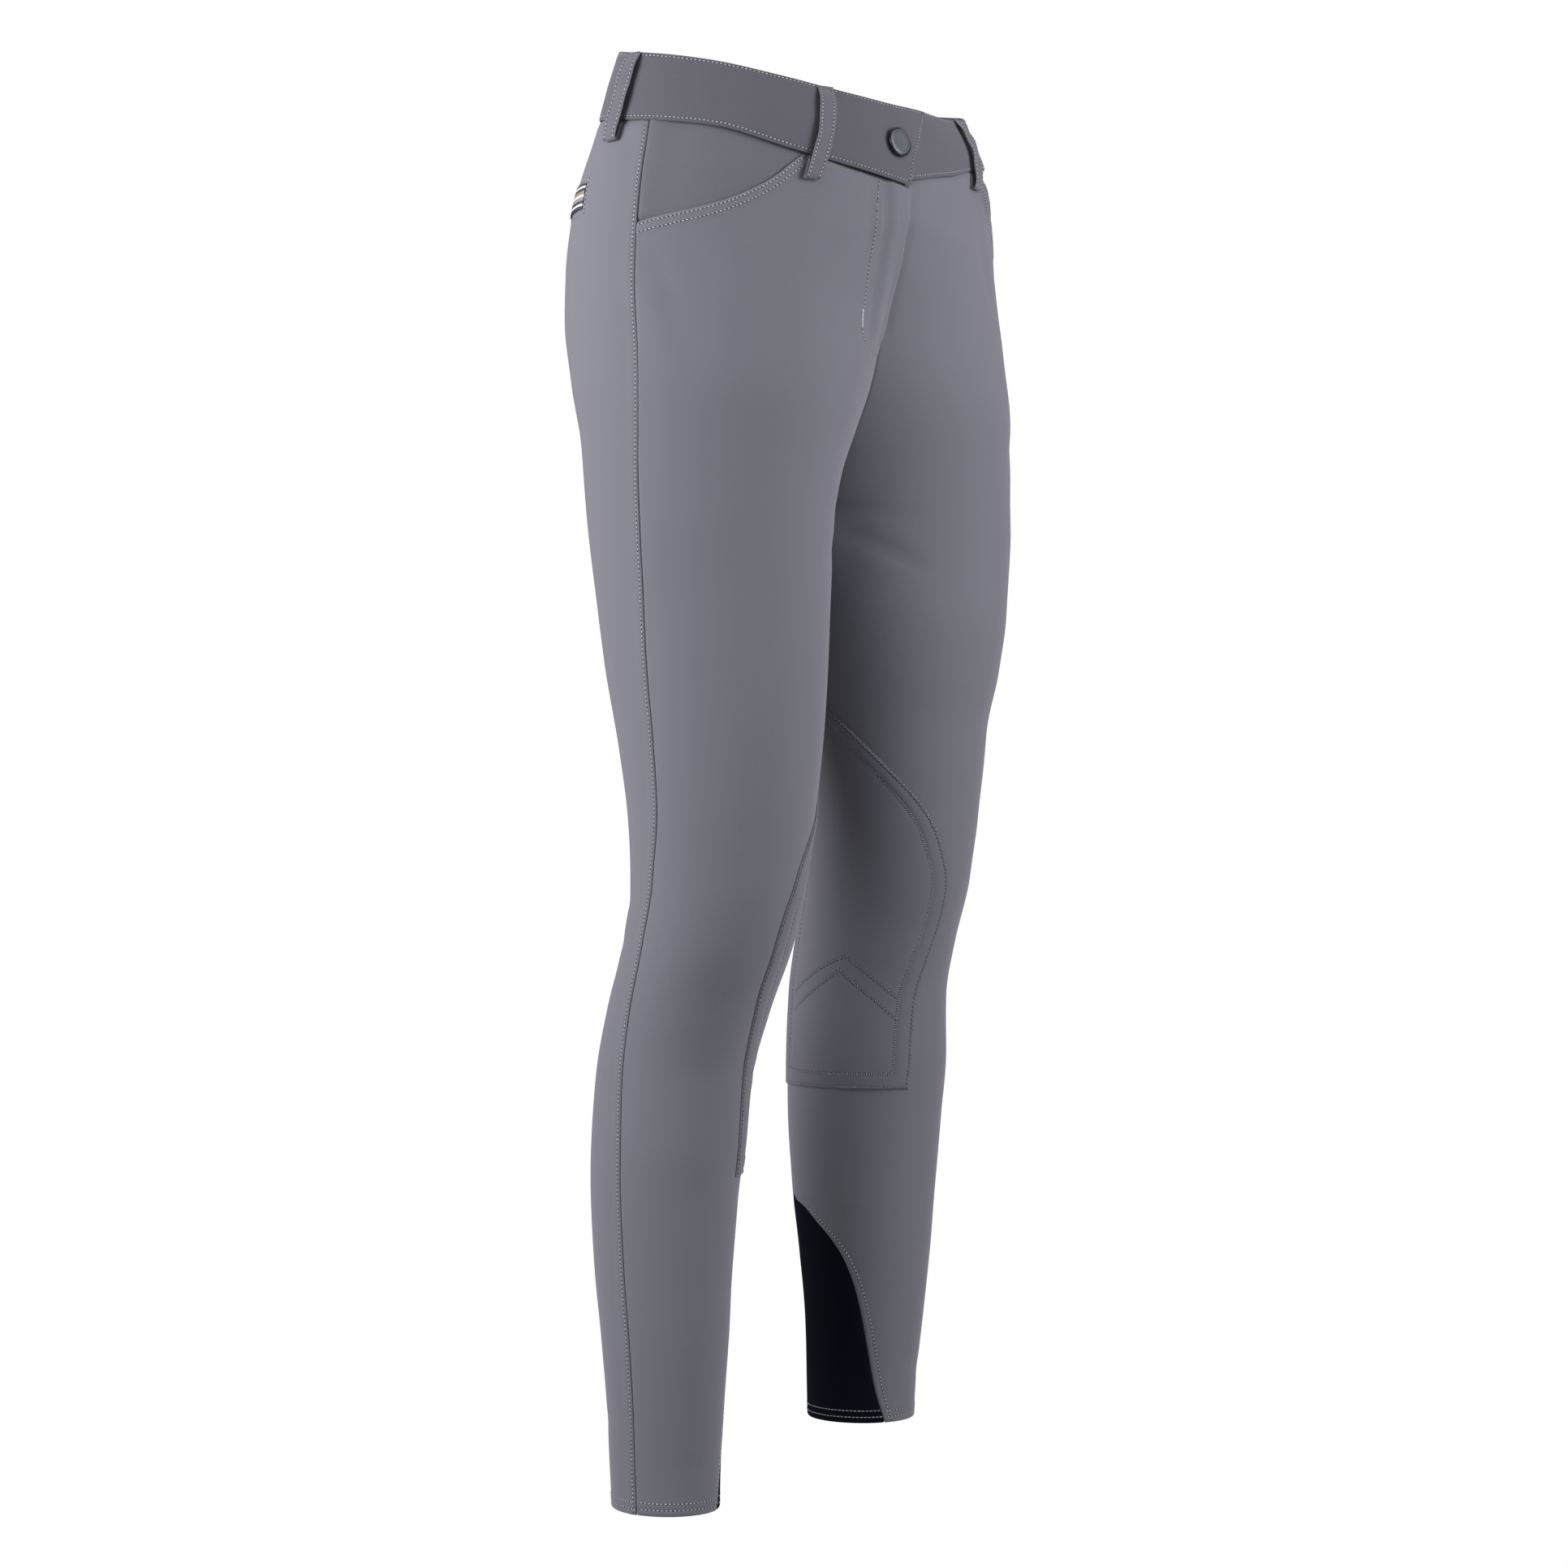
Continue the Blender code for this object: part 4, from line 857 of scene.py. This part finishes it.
for loop in LOOPS:
    top_z, low_z = float(band_edge["top"](loop.top_angle)), float(band_edge["low"](loop.foot_angle))
    half = STRAP_CLOTH / 2
    on_band, on_panel = BAND_CLOTH + 0.0003 + half, CLOTH + 0.0004 + half
    clear = BAND_CLOTH + LOOP_STAND + half
    foot, fold_out = low_z - loop.drop, on_panel + 0.0017
    path = flowing([(top_z - 0.0012, on_band), (top_z - 0.004, on_band + 0.0004),
                    (top_z - 0.010, clear - 0.0008), (top_z - 0.018, clear), (low_z + 0.008, clear),
                    (low_z - 0.006, clear - 0.0004), (foot + 0.003, clear - 0.0010),
                    (foot + 0.0008, fold_out + 0.0009), (foot, fold_out), (foot + 0.0008, on_panel + 0.0003),
                    (foot + 0.004, on_panel), (low_z - 0.0040, on_panel)], 7)
    z, stand = path[:, 0], path[:, 1]
    share = np.clip((z - foot) / (path[0, 0] - foot), 0, 1)
    angle = loop.foot_angle + (loop.top_angle - loop.foot_angle) * share
    free = np.sin(np.pi * share) ** 2 * (stand > on_panel + 0.0012)
    surface, across, out = torso_frame(angle, z)
    spine = surface + out * stand[:, None] + across * (loop.sway * free)[:, None]
    facing = unit(np.cross(np.gradient(spine, axis=0), across))
    tilt = ((loop.lean + 0.14 * np.sin(z * 190 + loop.top_angle)) * free)[:, None]
    sideways = across * np.cos(tilt) + facing * np.sin(tilt)
    offsets = LOOP_WIDTH * LOOP_COLUMNS
    dip = -0.0005 * np.clip((np.abs(LOOP_COLUMNS) - 0.42) / 0.08, 0, 1) ** 2
    dip -= 0.0002 * groove(np.abs(offsets), 0.34 * LOOP_WIDTH, 0.0008)
    outer = (spine[:, None] + sideways[:, None] * offsets[None, :, None]
             + facing[:, None] * (half + dip)[None, :, None])
    cut = flat(offsets, np.cumsum(np.r_[0, np.hypot(np.diff(z), np.diff(stand))])[:, None])
    straps[loop.name] = {
        **cloth(f"{loop.name}_strap", loop.side, outer, STRAP_CLOTH - 0.0002, cut, strap_cloth, "folded",
                [f"waistband_{loop.side}_cloth"], node=loop.name),
        "rows": int((stand > on_panel + 0.0014).sum())}


# ---- Back welts: a slit pocket on each back panel, closed with a woven tape that has fine stripes along it.
# The tape is let into a frame of topstitching and lies on the panel.
WELT_ANGLES = (-13.5, -60.0)
WELT_Z, WELT_HEIGHT = -0.0705, 0.0170
DARK, PALE, WARM = (0.020, 0.024, 0.045), (0.620, 0.620, 0.660), (0.240, 0.190, 0.170)
STRIPES = [(0.0, DARK), (0.12, PALE), (0.20, DARK), (0.32, WARM), (0.47, PALE), (0.56, WARM), (0.70, DARK),
           (0.82, PALE), (0.90, DARK)]
tape, tape_tree, tape_shader = new_material("striped_tape")
tape_map = add_node(tape_tree, "ShaderNodeUVMap", uv_map="cut").outputs[0]
tape_parts = add_node(tape_tree, "ShaderNodeSeparateXYZ", {0: tape_map})
tape_level = add_node(tape_tree, "ShaderNodeMapRange", {"Value": tape_parts.outputs["Y"],
                                                        "From Min": -WELT_HEIGHT, "From Max": 0.0})
tape_ramp = add_node(tape_tree, "ShaderNodeValToRGB", {"Fac": tape_level.outputs[0]})
stops = tape_ramp.color_ramp.elements
tape_ramp.color_ramp.interpolation = "CONSTANT"
while len(stops) < len(STRIPES):
    stops.new(0.99)
for stop, (start, _) in zip(stops, STRIPES):
    stop.position = start
for stop, (_, colour) in zip(stops, STRIPES):
    stop.color = (*colour, 1.0)
tape_ribs = add_node(tape_tree, "ShaderNodeTexWave", {"Vector": tape_map, "Scale": 480.0},
                     bands_direction="X")
tape_bump = add_node(tape_tree, "ShaderNodeBump", {"Height": tape_ribs.outputs["Fac"], "Distance": 0.00012})
wire(tape_tree, tape_shader, {"Base Color": tape_ramp.outputs["Color"], "Normal": tape_bump.outputs[0],
                              "Roughness": 0.6})

for side in ("right", "left"):
    angles = np.linspace(WELT_ANGLES[1], WELT_ANGLES[0], 60)[None]
    z = WELT_Z + WELT_HEIGHT * np.linspace(0.5, -0.5, 15)[:, None]
    base = torso_point(angles, z)
    run = arc_lengths(base, 1)
    ends = np.minimum(run, run[:, -1:] - run)
    lift = CLOTH + 0.0011 - rolled(ends, 0.0005, 0.0012) + 0.0002 * np.cos((z - WELT_Z) * 180)
    cloth(f"welt_{side}_tape", side, lifted(base, lift), 0.0009,
          flat(run, z - WELT_Z - WELT_HEIGHT / 2), tape, "laid", [f"back_{side}_cloth"], node=f"welt_{side}",
          slot="stripe_tape")


# ---- Waist button: a round moulded button with a dark raised rim, a thin pale ring and a slightly dished
# plain face, set on the lapped end of the waistband.
BUTTON_RADIUS, BUTTON_HEIGHT = 0.0100, 0.0032
BUTTON_ANGLE, BUTTON_Z = 85.7, -0.0325
BUTTON_PROFILE = [(0.0, 0.0), (0.9, 0.0), (0.97, 0.08), (1.0, 0.25), (1.0, 0.62), (0.985, 0.82),
                  (0.95, 0.95), (0.9, 1.0), (0.86, 0.98), (0.83, 0.88), (0.815, 0.8), (0.78, 0.8),
                  (0.76, 0.86), (0.6, 0.84), (0.35, 0.82), (0.0, 0.81)]
BUTTON_TURNS = 72
RING_START, FACE_START = 10, 12    # where along the profile the pale ring and the face begin


def moulded(name, colour, roughness, coat):
    """Moulded resin with a very fine grain."""
    material, tree, shader = new_material(name)
    place = add_node(tree, "ShaderNodeTexCoord")
    speck = add_node(tree, "ShaderNodeTexNoise", {"Vector": place.outputs["Object"], "Scale": 2500.0})
    bump = add_node(tree, "ShaderNodeBump", {"Height": speck.outputs["Fac"], "Distance": 0.00002})
    wire(tree, shader, {"Base Color": (*colour, 1.0), "Roughness": roughness, "Coat Weight": coat,
                        "Normal": bump.outputs[0]})
    return material


seat = torso_point(BUTTON_ANGLE, BUTTON_Z)
seat_across = torso_point(BUTTON_ANGLE + 0.5, BUTTON_Z) - seat
seat_out = unit(np.cross(torso_point(BUTTON_ANGLE, BUTTON_Z - 0.002) - seat, seat_across))
seat_across = unit(seat_across)
seat_up = np.cross(seat_out, seat_across)
seat = seat + seat_out * (BAND_RISE + BAND_CLOTH + 0.0004)
turns = np.linspace(0, 2 * np.pi, BUTTON_TURNS, endpoint=False)
points, faces, finishes = [], [], []
for radius, height in BUTTON_PROFILE:
    if radius == 0.0:
        points.append((seat + seat_out * height * BUTTON_HEIGHT)[None])
        continue
    ring = (seat_across[None] * np.cos(turns)[:, None] + seat_up[None] * np.sin(turns)[:, None])
    points.append(seat + ring * radius * BUTTON_RADIUS + seat_out * height * BUTTON_HEIGHT)
starts = np.cumsum([0] + [len(p) for p in points])
for k in range(len(BUTTON_PROFILE) - 1):
    for i in range(BUTTON_TURNS):
        j = (i + 1) % BUTTON_TURNS
        if k == 0:
            faces.append((0, starts[1] + j, starts[1] + i))
        elif k == len(BUTTON_PROFILE) - 2:
            faces.append((starts[k] + i, starts[k] + j, starts[k + 1]))
        else:
            faces.append((starts[k] + i, starts[k] + j, starts[k + 1] + j, starts[k + 1] + i))
        finishes.append(int(k >= RING_START) + int(k >= FACE_START))
mesh = bpy.data.meshes.new("waist_button_moulded")
mesh.from_pydata(np.concatenate(points).tolist(), [], [tuple(int(i) for i in f) for f in faces])
mesh.shade_smooth()
for finish in (moulded("button_rim", (0.0055, 0.0085, 0.020), 0.32, 0.25),
               moulded("button_ring", (0.12, 0.13, 0.165), 0.35, 0.10),
               moulded("button_face", (0.034, 0.041, 0.058), 0.50, 0.0)):
    mesh.materials.append(finish)
mesh.polygons.foreach_set("material_index", finishes)
put("waist_button_moulded", mesh, None, "waist_button", "button")


# ---- Topstitching: spun polyester thread a shade lighter than the cloth, in rows of short stitches along
# every seam and edge, zigzag rows on the knee patches, and bar tacks on the fly.
def spun(name, colour, ply_depth):
    """Two-ply sewing thread, or near-black cloth painted as the stitches' shadow."""
    material, tree, shader = new_material(name)
    place = add_node(tree, "ShaderNodeTexCoord")
    ply = add_node(tree, "ShaderNodeTexWave", {"Vector": place.outputs["Object"], "Scale": 1400.0},
                   bands_direction="DIAGONAL").outputs["Fac"]
    bump = add_node(tree, "ShaderNodeBump", {"Height": ply, "Distance": ply_depth})
    shades = add_node(tree, "ShaderNodeMix", {0: ply, 6: (*(0.82 * c for c in colour), 1.0),
                                              7: (*(1.12 * c for c in colour), 1.0)}, data_type="RGBA")
    wire(tree, shader, {"Base Color": shades.outputs[2], "Normal": bump.outputs[0], "Roughness": 0.6})
    return material


THREAD_HEIGHT = 0.0005
thread = spun("topstitch_thread", (0.52, 0.51, 0.55), 0.00006)
# Painted shade: the knee patches' zigzags use the topstitch thread toned down towards the cloth, for the
# shade among their close stitches.
shaded_patch_thread = spun("shaded_patch_thread", (0.27, 0.27, 0.31), 0.00006)
# Painted shadow: near-black beads laid on the cloth beside every stitch stand in for the stitches' shadow.
painted_stitch_shadow = spun("painted_stitch_shadow", (0.030, 0.030, 0.038), 0.00002)

sewing = bpy.data.node_groups.new("stitches", "GeometryNodeTree")
sewing.interface.new_socket("Geometry", in_out="INPUT", socket_type="NodeSocketGeometry")
stitch_inputs = {}
for title, kind in (("Stitch Length", "Float"), ("Thread Width", "Float"), ("Thread Height", "Float"),
                    ("Thread", "Material")):
    socket = sewing.interface.new_socket(title, in_out="INPUT", socket_type=f"NodeSocket{kind}")
    stitch_inputs[title] = socket.identifier
sewing.interface.new_socket("Geometry", in_out="OUTPUT", socket_type="NodeSocketGeometry")
given = sewing.nodes.new("NodeGroupInput").outputs
to_points = add_node(sewing, "GeometryNodeMeshToPoints", {"Mesh": given["Geometry"]})
bead = add_node(sewing, "GeometryNodeMeshUVSphere", {"Segments": 6, "Rings": 4, "Radius": 0.5})
lying = add_node(sewing, "GeometryNodeTransform", {"Geometry": bead.outputs["Mesh"],
                                                   "Rotation": (0.0, math.pi / 2, 0.0)})
size = add_node(sewing, "ShaderNodeCombineXYZ", {"X": given["Stitch Length"], "Y": given["Thread Width"],
                                                 "Z": given["Thread Height"]})
stretched = add_node(sewing, "GeometryNodeTransform", {"Geometry": lying.outputs[0],
                                                       "Scale": size.outputs[0]})
ways = [add_node(sewing, "GeometryNodeInputNamedAttribute", {"Name": attribute}, data_type="FLOAT_VECTOR")
        for attribute in ("out", "along")]
turned = add_node(sewing, "FunctionNodeAxesToRotation", {"Primary Axis": ways[0].outputs["Attribute"],
                                                         "Secondary Axis": ways[1].outputs["Attribute"]},
                  primary_axis="Z", secondary_axis="X")
on_points = add_node(sewing, "GeometryNodeInstanceOnPoints", {"Points": to_points.outputs["Points"],
                                                              "Instance": stretched.outputs[0],
                                                              "Rotation": turned.outputs[0]})
real = add_node(sewing, "GeometryNodeRealizeInstances", {"Geometry": on_points.outputs["Instances"]})
spooled = add_node(sewing, "GeometryNodeSetMaterial", {"Geometry": real.outputs[0],
                                                       "Material": given["Thread"]})
add_node(sewing, "NodeGroupOutput", {"Geometry": spooled.outputs[0]})


def over(sheet, rows, cols):
    """Points and outward normals of a sheet at fractional rows and columns of its grid."""
    grid, normal = sheet["outer"], normals_of(sheet["outer"]) * sheet["facing"]
    rows, cols = np.broadcast_arrays(np.asarray(rows, float), np.asarray(cols, float))
    r = np.clip(rows.astype(int), 0, grid.shape[0] - 2)
    c = np.clip(cols.astype(int), 0, grid.shape[1] - 2)
    a, b = (rows - r)[:, None], (cols - c)[:, None]
    return [values[r, c] * (1 - a) * (1 - b) + values[r + 1, c] * a * (1 - b)
            + values[r, c + 1] * (1 - a) * b + values[r + 1, c + 1] * a * b for values in (grid, normal)]


def beads(name, centres, alongs, outs, length, width, height, material):
    """One small bead at each point, turned along its stitch and flat on the cloth."""
    mesh = bpy.data.meshes.new(name)
    mesh.from_pydata(centres.tolist(), [], [])
    for attribute, values in (("along", alongs), ("out", outs)):
        layer = mesh.attributes.new(attribute, "FLOAT_VECTOR", "POINT")
        layer.data.foreach_set("vector", values.astype(np.float32).ravel())
    points_object = bpy.data.objects.new(name, mesh)
    bpy.context.scene.collection.objects.link(points_object)
    modifier = points_object.modifiers.new("stitches", "NODES")
    modifier.node_group = sewing
    for title, value in (("Stitch Length", length), ("Thread Width", width), ("Thread Height", height),
                         ("Thread", material)):
        modifier[stitch_inputs[title]] = value
    evaluated = points_object.evaluated_get(bpy.context.evaluated_depsgraph_get())
    sewn = bpy.data.meshes.new_from_object(evaluated)
    bpy.data.objects.remove(points_object, do_unlink=True)
    sewn.name = name
    sewn.shade_smooth()
    return put(name, sewn, None)


def sew(name, rows, pitch=0.0028, length=0.0016, width=0.00060, zigzag=0.0, spool=thread):
    """Stitches along rows of (points, normals); zigzag is how far they swing across the row.

    Near-black beads on the cloth are painted shadow: between a straight row's stitches, behind each zigzag
    stitch.
    """
    stitches, painted_shadows = [], []
    for points, normal in rows:
        run = np.concatenate([[0], np.cumsum(np.linalg.norm(np.diff(points, axis=0), axis=1))])
        count = max(2, round(run[-1] / pitch))
        knots = np.linspace(0, run[-1], count + 1)
        at, face_out = sampled(points, run, knots), sampled(normal, run, knots)
        ahead = unit(np.gradient(at, axis=0))
        aside = np.cross(face_out, ahead)
        at = at + aside * (zigzag / 2 * (-1.0) ** np.arange(count + 1))[:, None]
        middle, step, out = (at[1:] + at[:-1]) / 2, at[1:] - at[:-1], face_out[1:] + face_out[:-1]
        stitches.append((middle, step, out))
        behind = middle + (ahead[1:] + ahead[:-1]) * 0.0002
        painted_shadows.append((behind, step, out) if zigzag else (at, ahead, face_out))
    centres, alongs, outs = (np.concatenate(part) for part in zip(*stitches))
    outs = unit(outs)
    beads(name, centres + outs * THREAD_HEIGHT * 0.20, unit(alongs), outs, length, width, THREAD_HEIGHT,
          spool)
    painted_shadow_length = zigzag or pitch - length + 0.0004
    beads(f"{name}_dents", *(np.concatenate(part) for part in zip(*painted_shadows)), painted_shadow_length, 0.0011, 0.00026,
          painted_stitch_shadow)


def line_down(sheet, measure, distance, first=0, last=None):
    """The line down a sheet at one distance from its side or inner edge, as (points, normals)."""
    rows = np.arange(len(sheet["outer"]))[first:last]
    return over(sheet, rows, [crossing(sheet[measure][r], distance) for r in rows])


def line_across(sheet, measure, distance, first=0, last=None):
    """The line across a sheet at one distance from its top or foot, as (points, normals)."""
    cols = np.arange(sheet["outer"].shape[1])[first:last]
    return over(sheet, [crossing(sheet[measure][:, c], distance) for c in cols], cols)


def on_front(sheet, x, z):
    """Where a point of a front panel, as seen from straight ahead, lies on its grid."""
    cols = [crossing(line[:, 0], x) for line in sheet["outer"]]
    places = np.arange(sheet["outer"].shape[1])
    levels = np.array([np.interp(c, places, line[:, 2]) for c, line in zip(cols, sheet["outer"])])
    row = crossing(levels, z)
    return row, np.interp(row, np.arange(len(cols)), cols)


CROTCH_Z = -0.236
for side in ("right", "left"):
    back, front, insert = panels["back", side], panels["front", side], inserts[side]
    insert_cols = np.arange(insert["outer"].shape[1])
    insert_start = int(np.argmax(front["z"][:, -1] < INSERT_TOP - 0.002))
    crotch = int(np.argmax(front["z"][:, -1] < CROTCH_Z))
    rows = [line_down(front, "from_inner", INSERT_ROW, insert_start, -3),
            line_down(back, "from_side", SIDE_ROW, 3, -3),
            line_down(back, "from_inner", INSERT_ROW, insert_start, -3),
            line_down(back, "from_inner", CENTRE_ROW, 12, crotch)]
    for distance in HEM_ROWS:
        at_row = crossing(insert["z"][:, 0], HEM_Z + distance)
        rows += [line_across(front, "from_hem", distance), line_across(back, "from_hem", distance),
                 over(insert, at_row, insert_cols)]
    mouth_end = int(np.argmax(front["hip_angle"][0] > MOUTH_END + 1.0))
    rows += [line_across(front, "from_top", distance, 0, mouth_end) for distance in MOUTH_ROWS]
    sew(f"topstitch_seams_{side}", rows)

# The fly: a row 29 mm from its edge that turns in at the foot, and two bar tacks.
FLY_ROW = [(-0.0290, -0.0590), (-0.0316, -0.1085), (-0.0317, -0.1340), (-0.0320, -0.1500), (-0.0308, -0.1575),
           (-0.0266, -0.1630), (-0.0195, -0.1662), (-0.0115, -0.1680), (-0.0030, -0.1688)]
BAR_TACKS = [((-0.0330, -0.1420), (-0.0323, -0.1540)), ((0.0018, -0.1560), (-0.0002, -0.1680))]
front = panels["front", "right"]


def on_fly(points, count):
    """A smooth row over the right front panel through a few points seen from straight ahead."""
    places = np.array([on_front(front, x, z) for x, z in flowing(points, count)])
    return over(front, places[:, 0], places[:, 1])


sew("topstitch_fly", [on_fly(FLY_ROW, 8)])
sew("bar_tacks_fly", [on_fly(tack, 12) for tack in BAR_TACKS], 0.00055, 0.0021, 0.0007, zigzag=0.0018)

rows = []
for side in ("right", "left"):
    band = bands[side]
    last = band["outer"].shape[1] - (5 if side == "right" else 1)
    rows += [line_across(band, measure, distance, 0, last) for measure, distance in BAND_ROWS.items()]
band = bands["right"]
end_rows = np.arange(4, len(band["outer"]) - 4)
rows.append(over(band, end_rows, [crossing(band["from_end"][r], BAND_END_ROW) for r in end_rows]))
sew("topstitch_waistband", rows)

# Each back welt has a row round it on the panel, 3 mm outside the tape.
WELT_FRAME = 0.0030
for side in ("right", "left"):
    near_end, far_end = WELT_ANGLES[0] + 1.1, WELT_ANGLES[1] - 1.1
    upper, lower = WELT_Z + WELT_HEIGHT / 2 + WELT_FRAME, WELT_Z - WELT_HEIGHT / 2 - WELT_FRAME
    corners = [(near_end, upper), (far_end, upper), (far_end, lower), (near_end, lower), (near_end, upper)]
    rows = []
    for (angle, z), (end_angle, end_z) in zip(corners, corners[1:]):
        share = np.linspace(0, 1, 30)
        angles, levels = angle + (end_angle - angle) * share, z + (end_z - z) * share
        surface, _, out = torso_frame(angles, levels)
        rows.append((placed(side, surface + out * CLOTH), out * ((-1, 1, 1) if side == "left" else 1)))
    sew(f"topstitch_welt_{side}", rows)

rows = []
for strap in straps.values():
    count = np.arange(2, strap["rows"])
    for col in (3, 7):
        rows.append(over(strap, count, col))
sew("topstitch_loops", rows)

# Knee patches: the outer zigzag holds the edge, the inner one runs beside it, and the chevrons cross the
# foot. A chevron's places are angles round the leg and levels.
CHEVRONS = [
    [(117.0, -0.6496), (139.0, -0.6313), (159.5, -0.6167)],
    [(159.5, -0.6167), (176.0, -0.6247), (206.0, -0.645)],
    [(118.5, -0.664), (137.5, -0.6473), (162.5, -0.6273)],
    [(162.5, -0.6273), (180.0, -0.641), (206.0, -0.659)],
]
CHEVRON_RISE = {"right": 0.0020, "left": 0.0}
for side in ("right", "left"):
    patch = patches[side]
    for inset, foot_inset, pitch, swing, title in ((ROW_INSETS[0], ROW_INSETS[0], 0.00150, 0.0030, "edge"),
                                                   (ROW_INSETS[1], FOOT_INSET, 0.00170, 0.0036, "inner")):
        start = 1 if inset < 0.01 else int(np.argmax(patch["from_front"][:, -1] > 2.4 * inset))
        foot = crossing(patch["from_foot"][:, 0], foot_inset)
        down = np.append(np.arange(start, foot), foot)
        front_cols = [crossing(patch["from_front"][int(r)], inset) for r in down]
        back_cols = [crossing(patch["from_back"][int(r)], inset) for r in down]
        rows = [over(patch, down, front_cols), over(patch, down, back_cols),
                over(patch, foot, np.linspace(front_cols[-1], back_cols[-1], 40))]
        sew(f"zigzag_patch_{title}_{side}", rows, pitch, swing * 0.62, 0.00062, zigzag=swing,
            spool=shaded_patch_thread)
    rows = []
    for line in CHEVRONS:
        path = flowing(line, 10)
        path[:, 1] += CHEVRON_RISE[side]
        at_row = crossing(patch["z"][:, 0], path[:, 1])
        on_row = patch["angle"][at_row.round().astype(int)]
        rows.append(over(patch, at_row, [crossing(angles, a) for a, angles in zip(path[:, 0], on_row)]))
    sew(f"chevrons_{side}", rows, 0.00160, 0.0018, 0.00056, zigzag=0.0030, spool=shaded_patch_thread)


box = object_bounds()
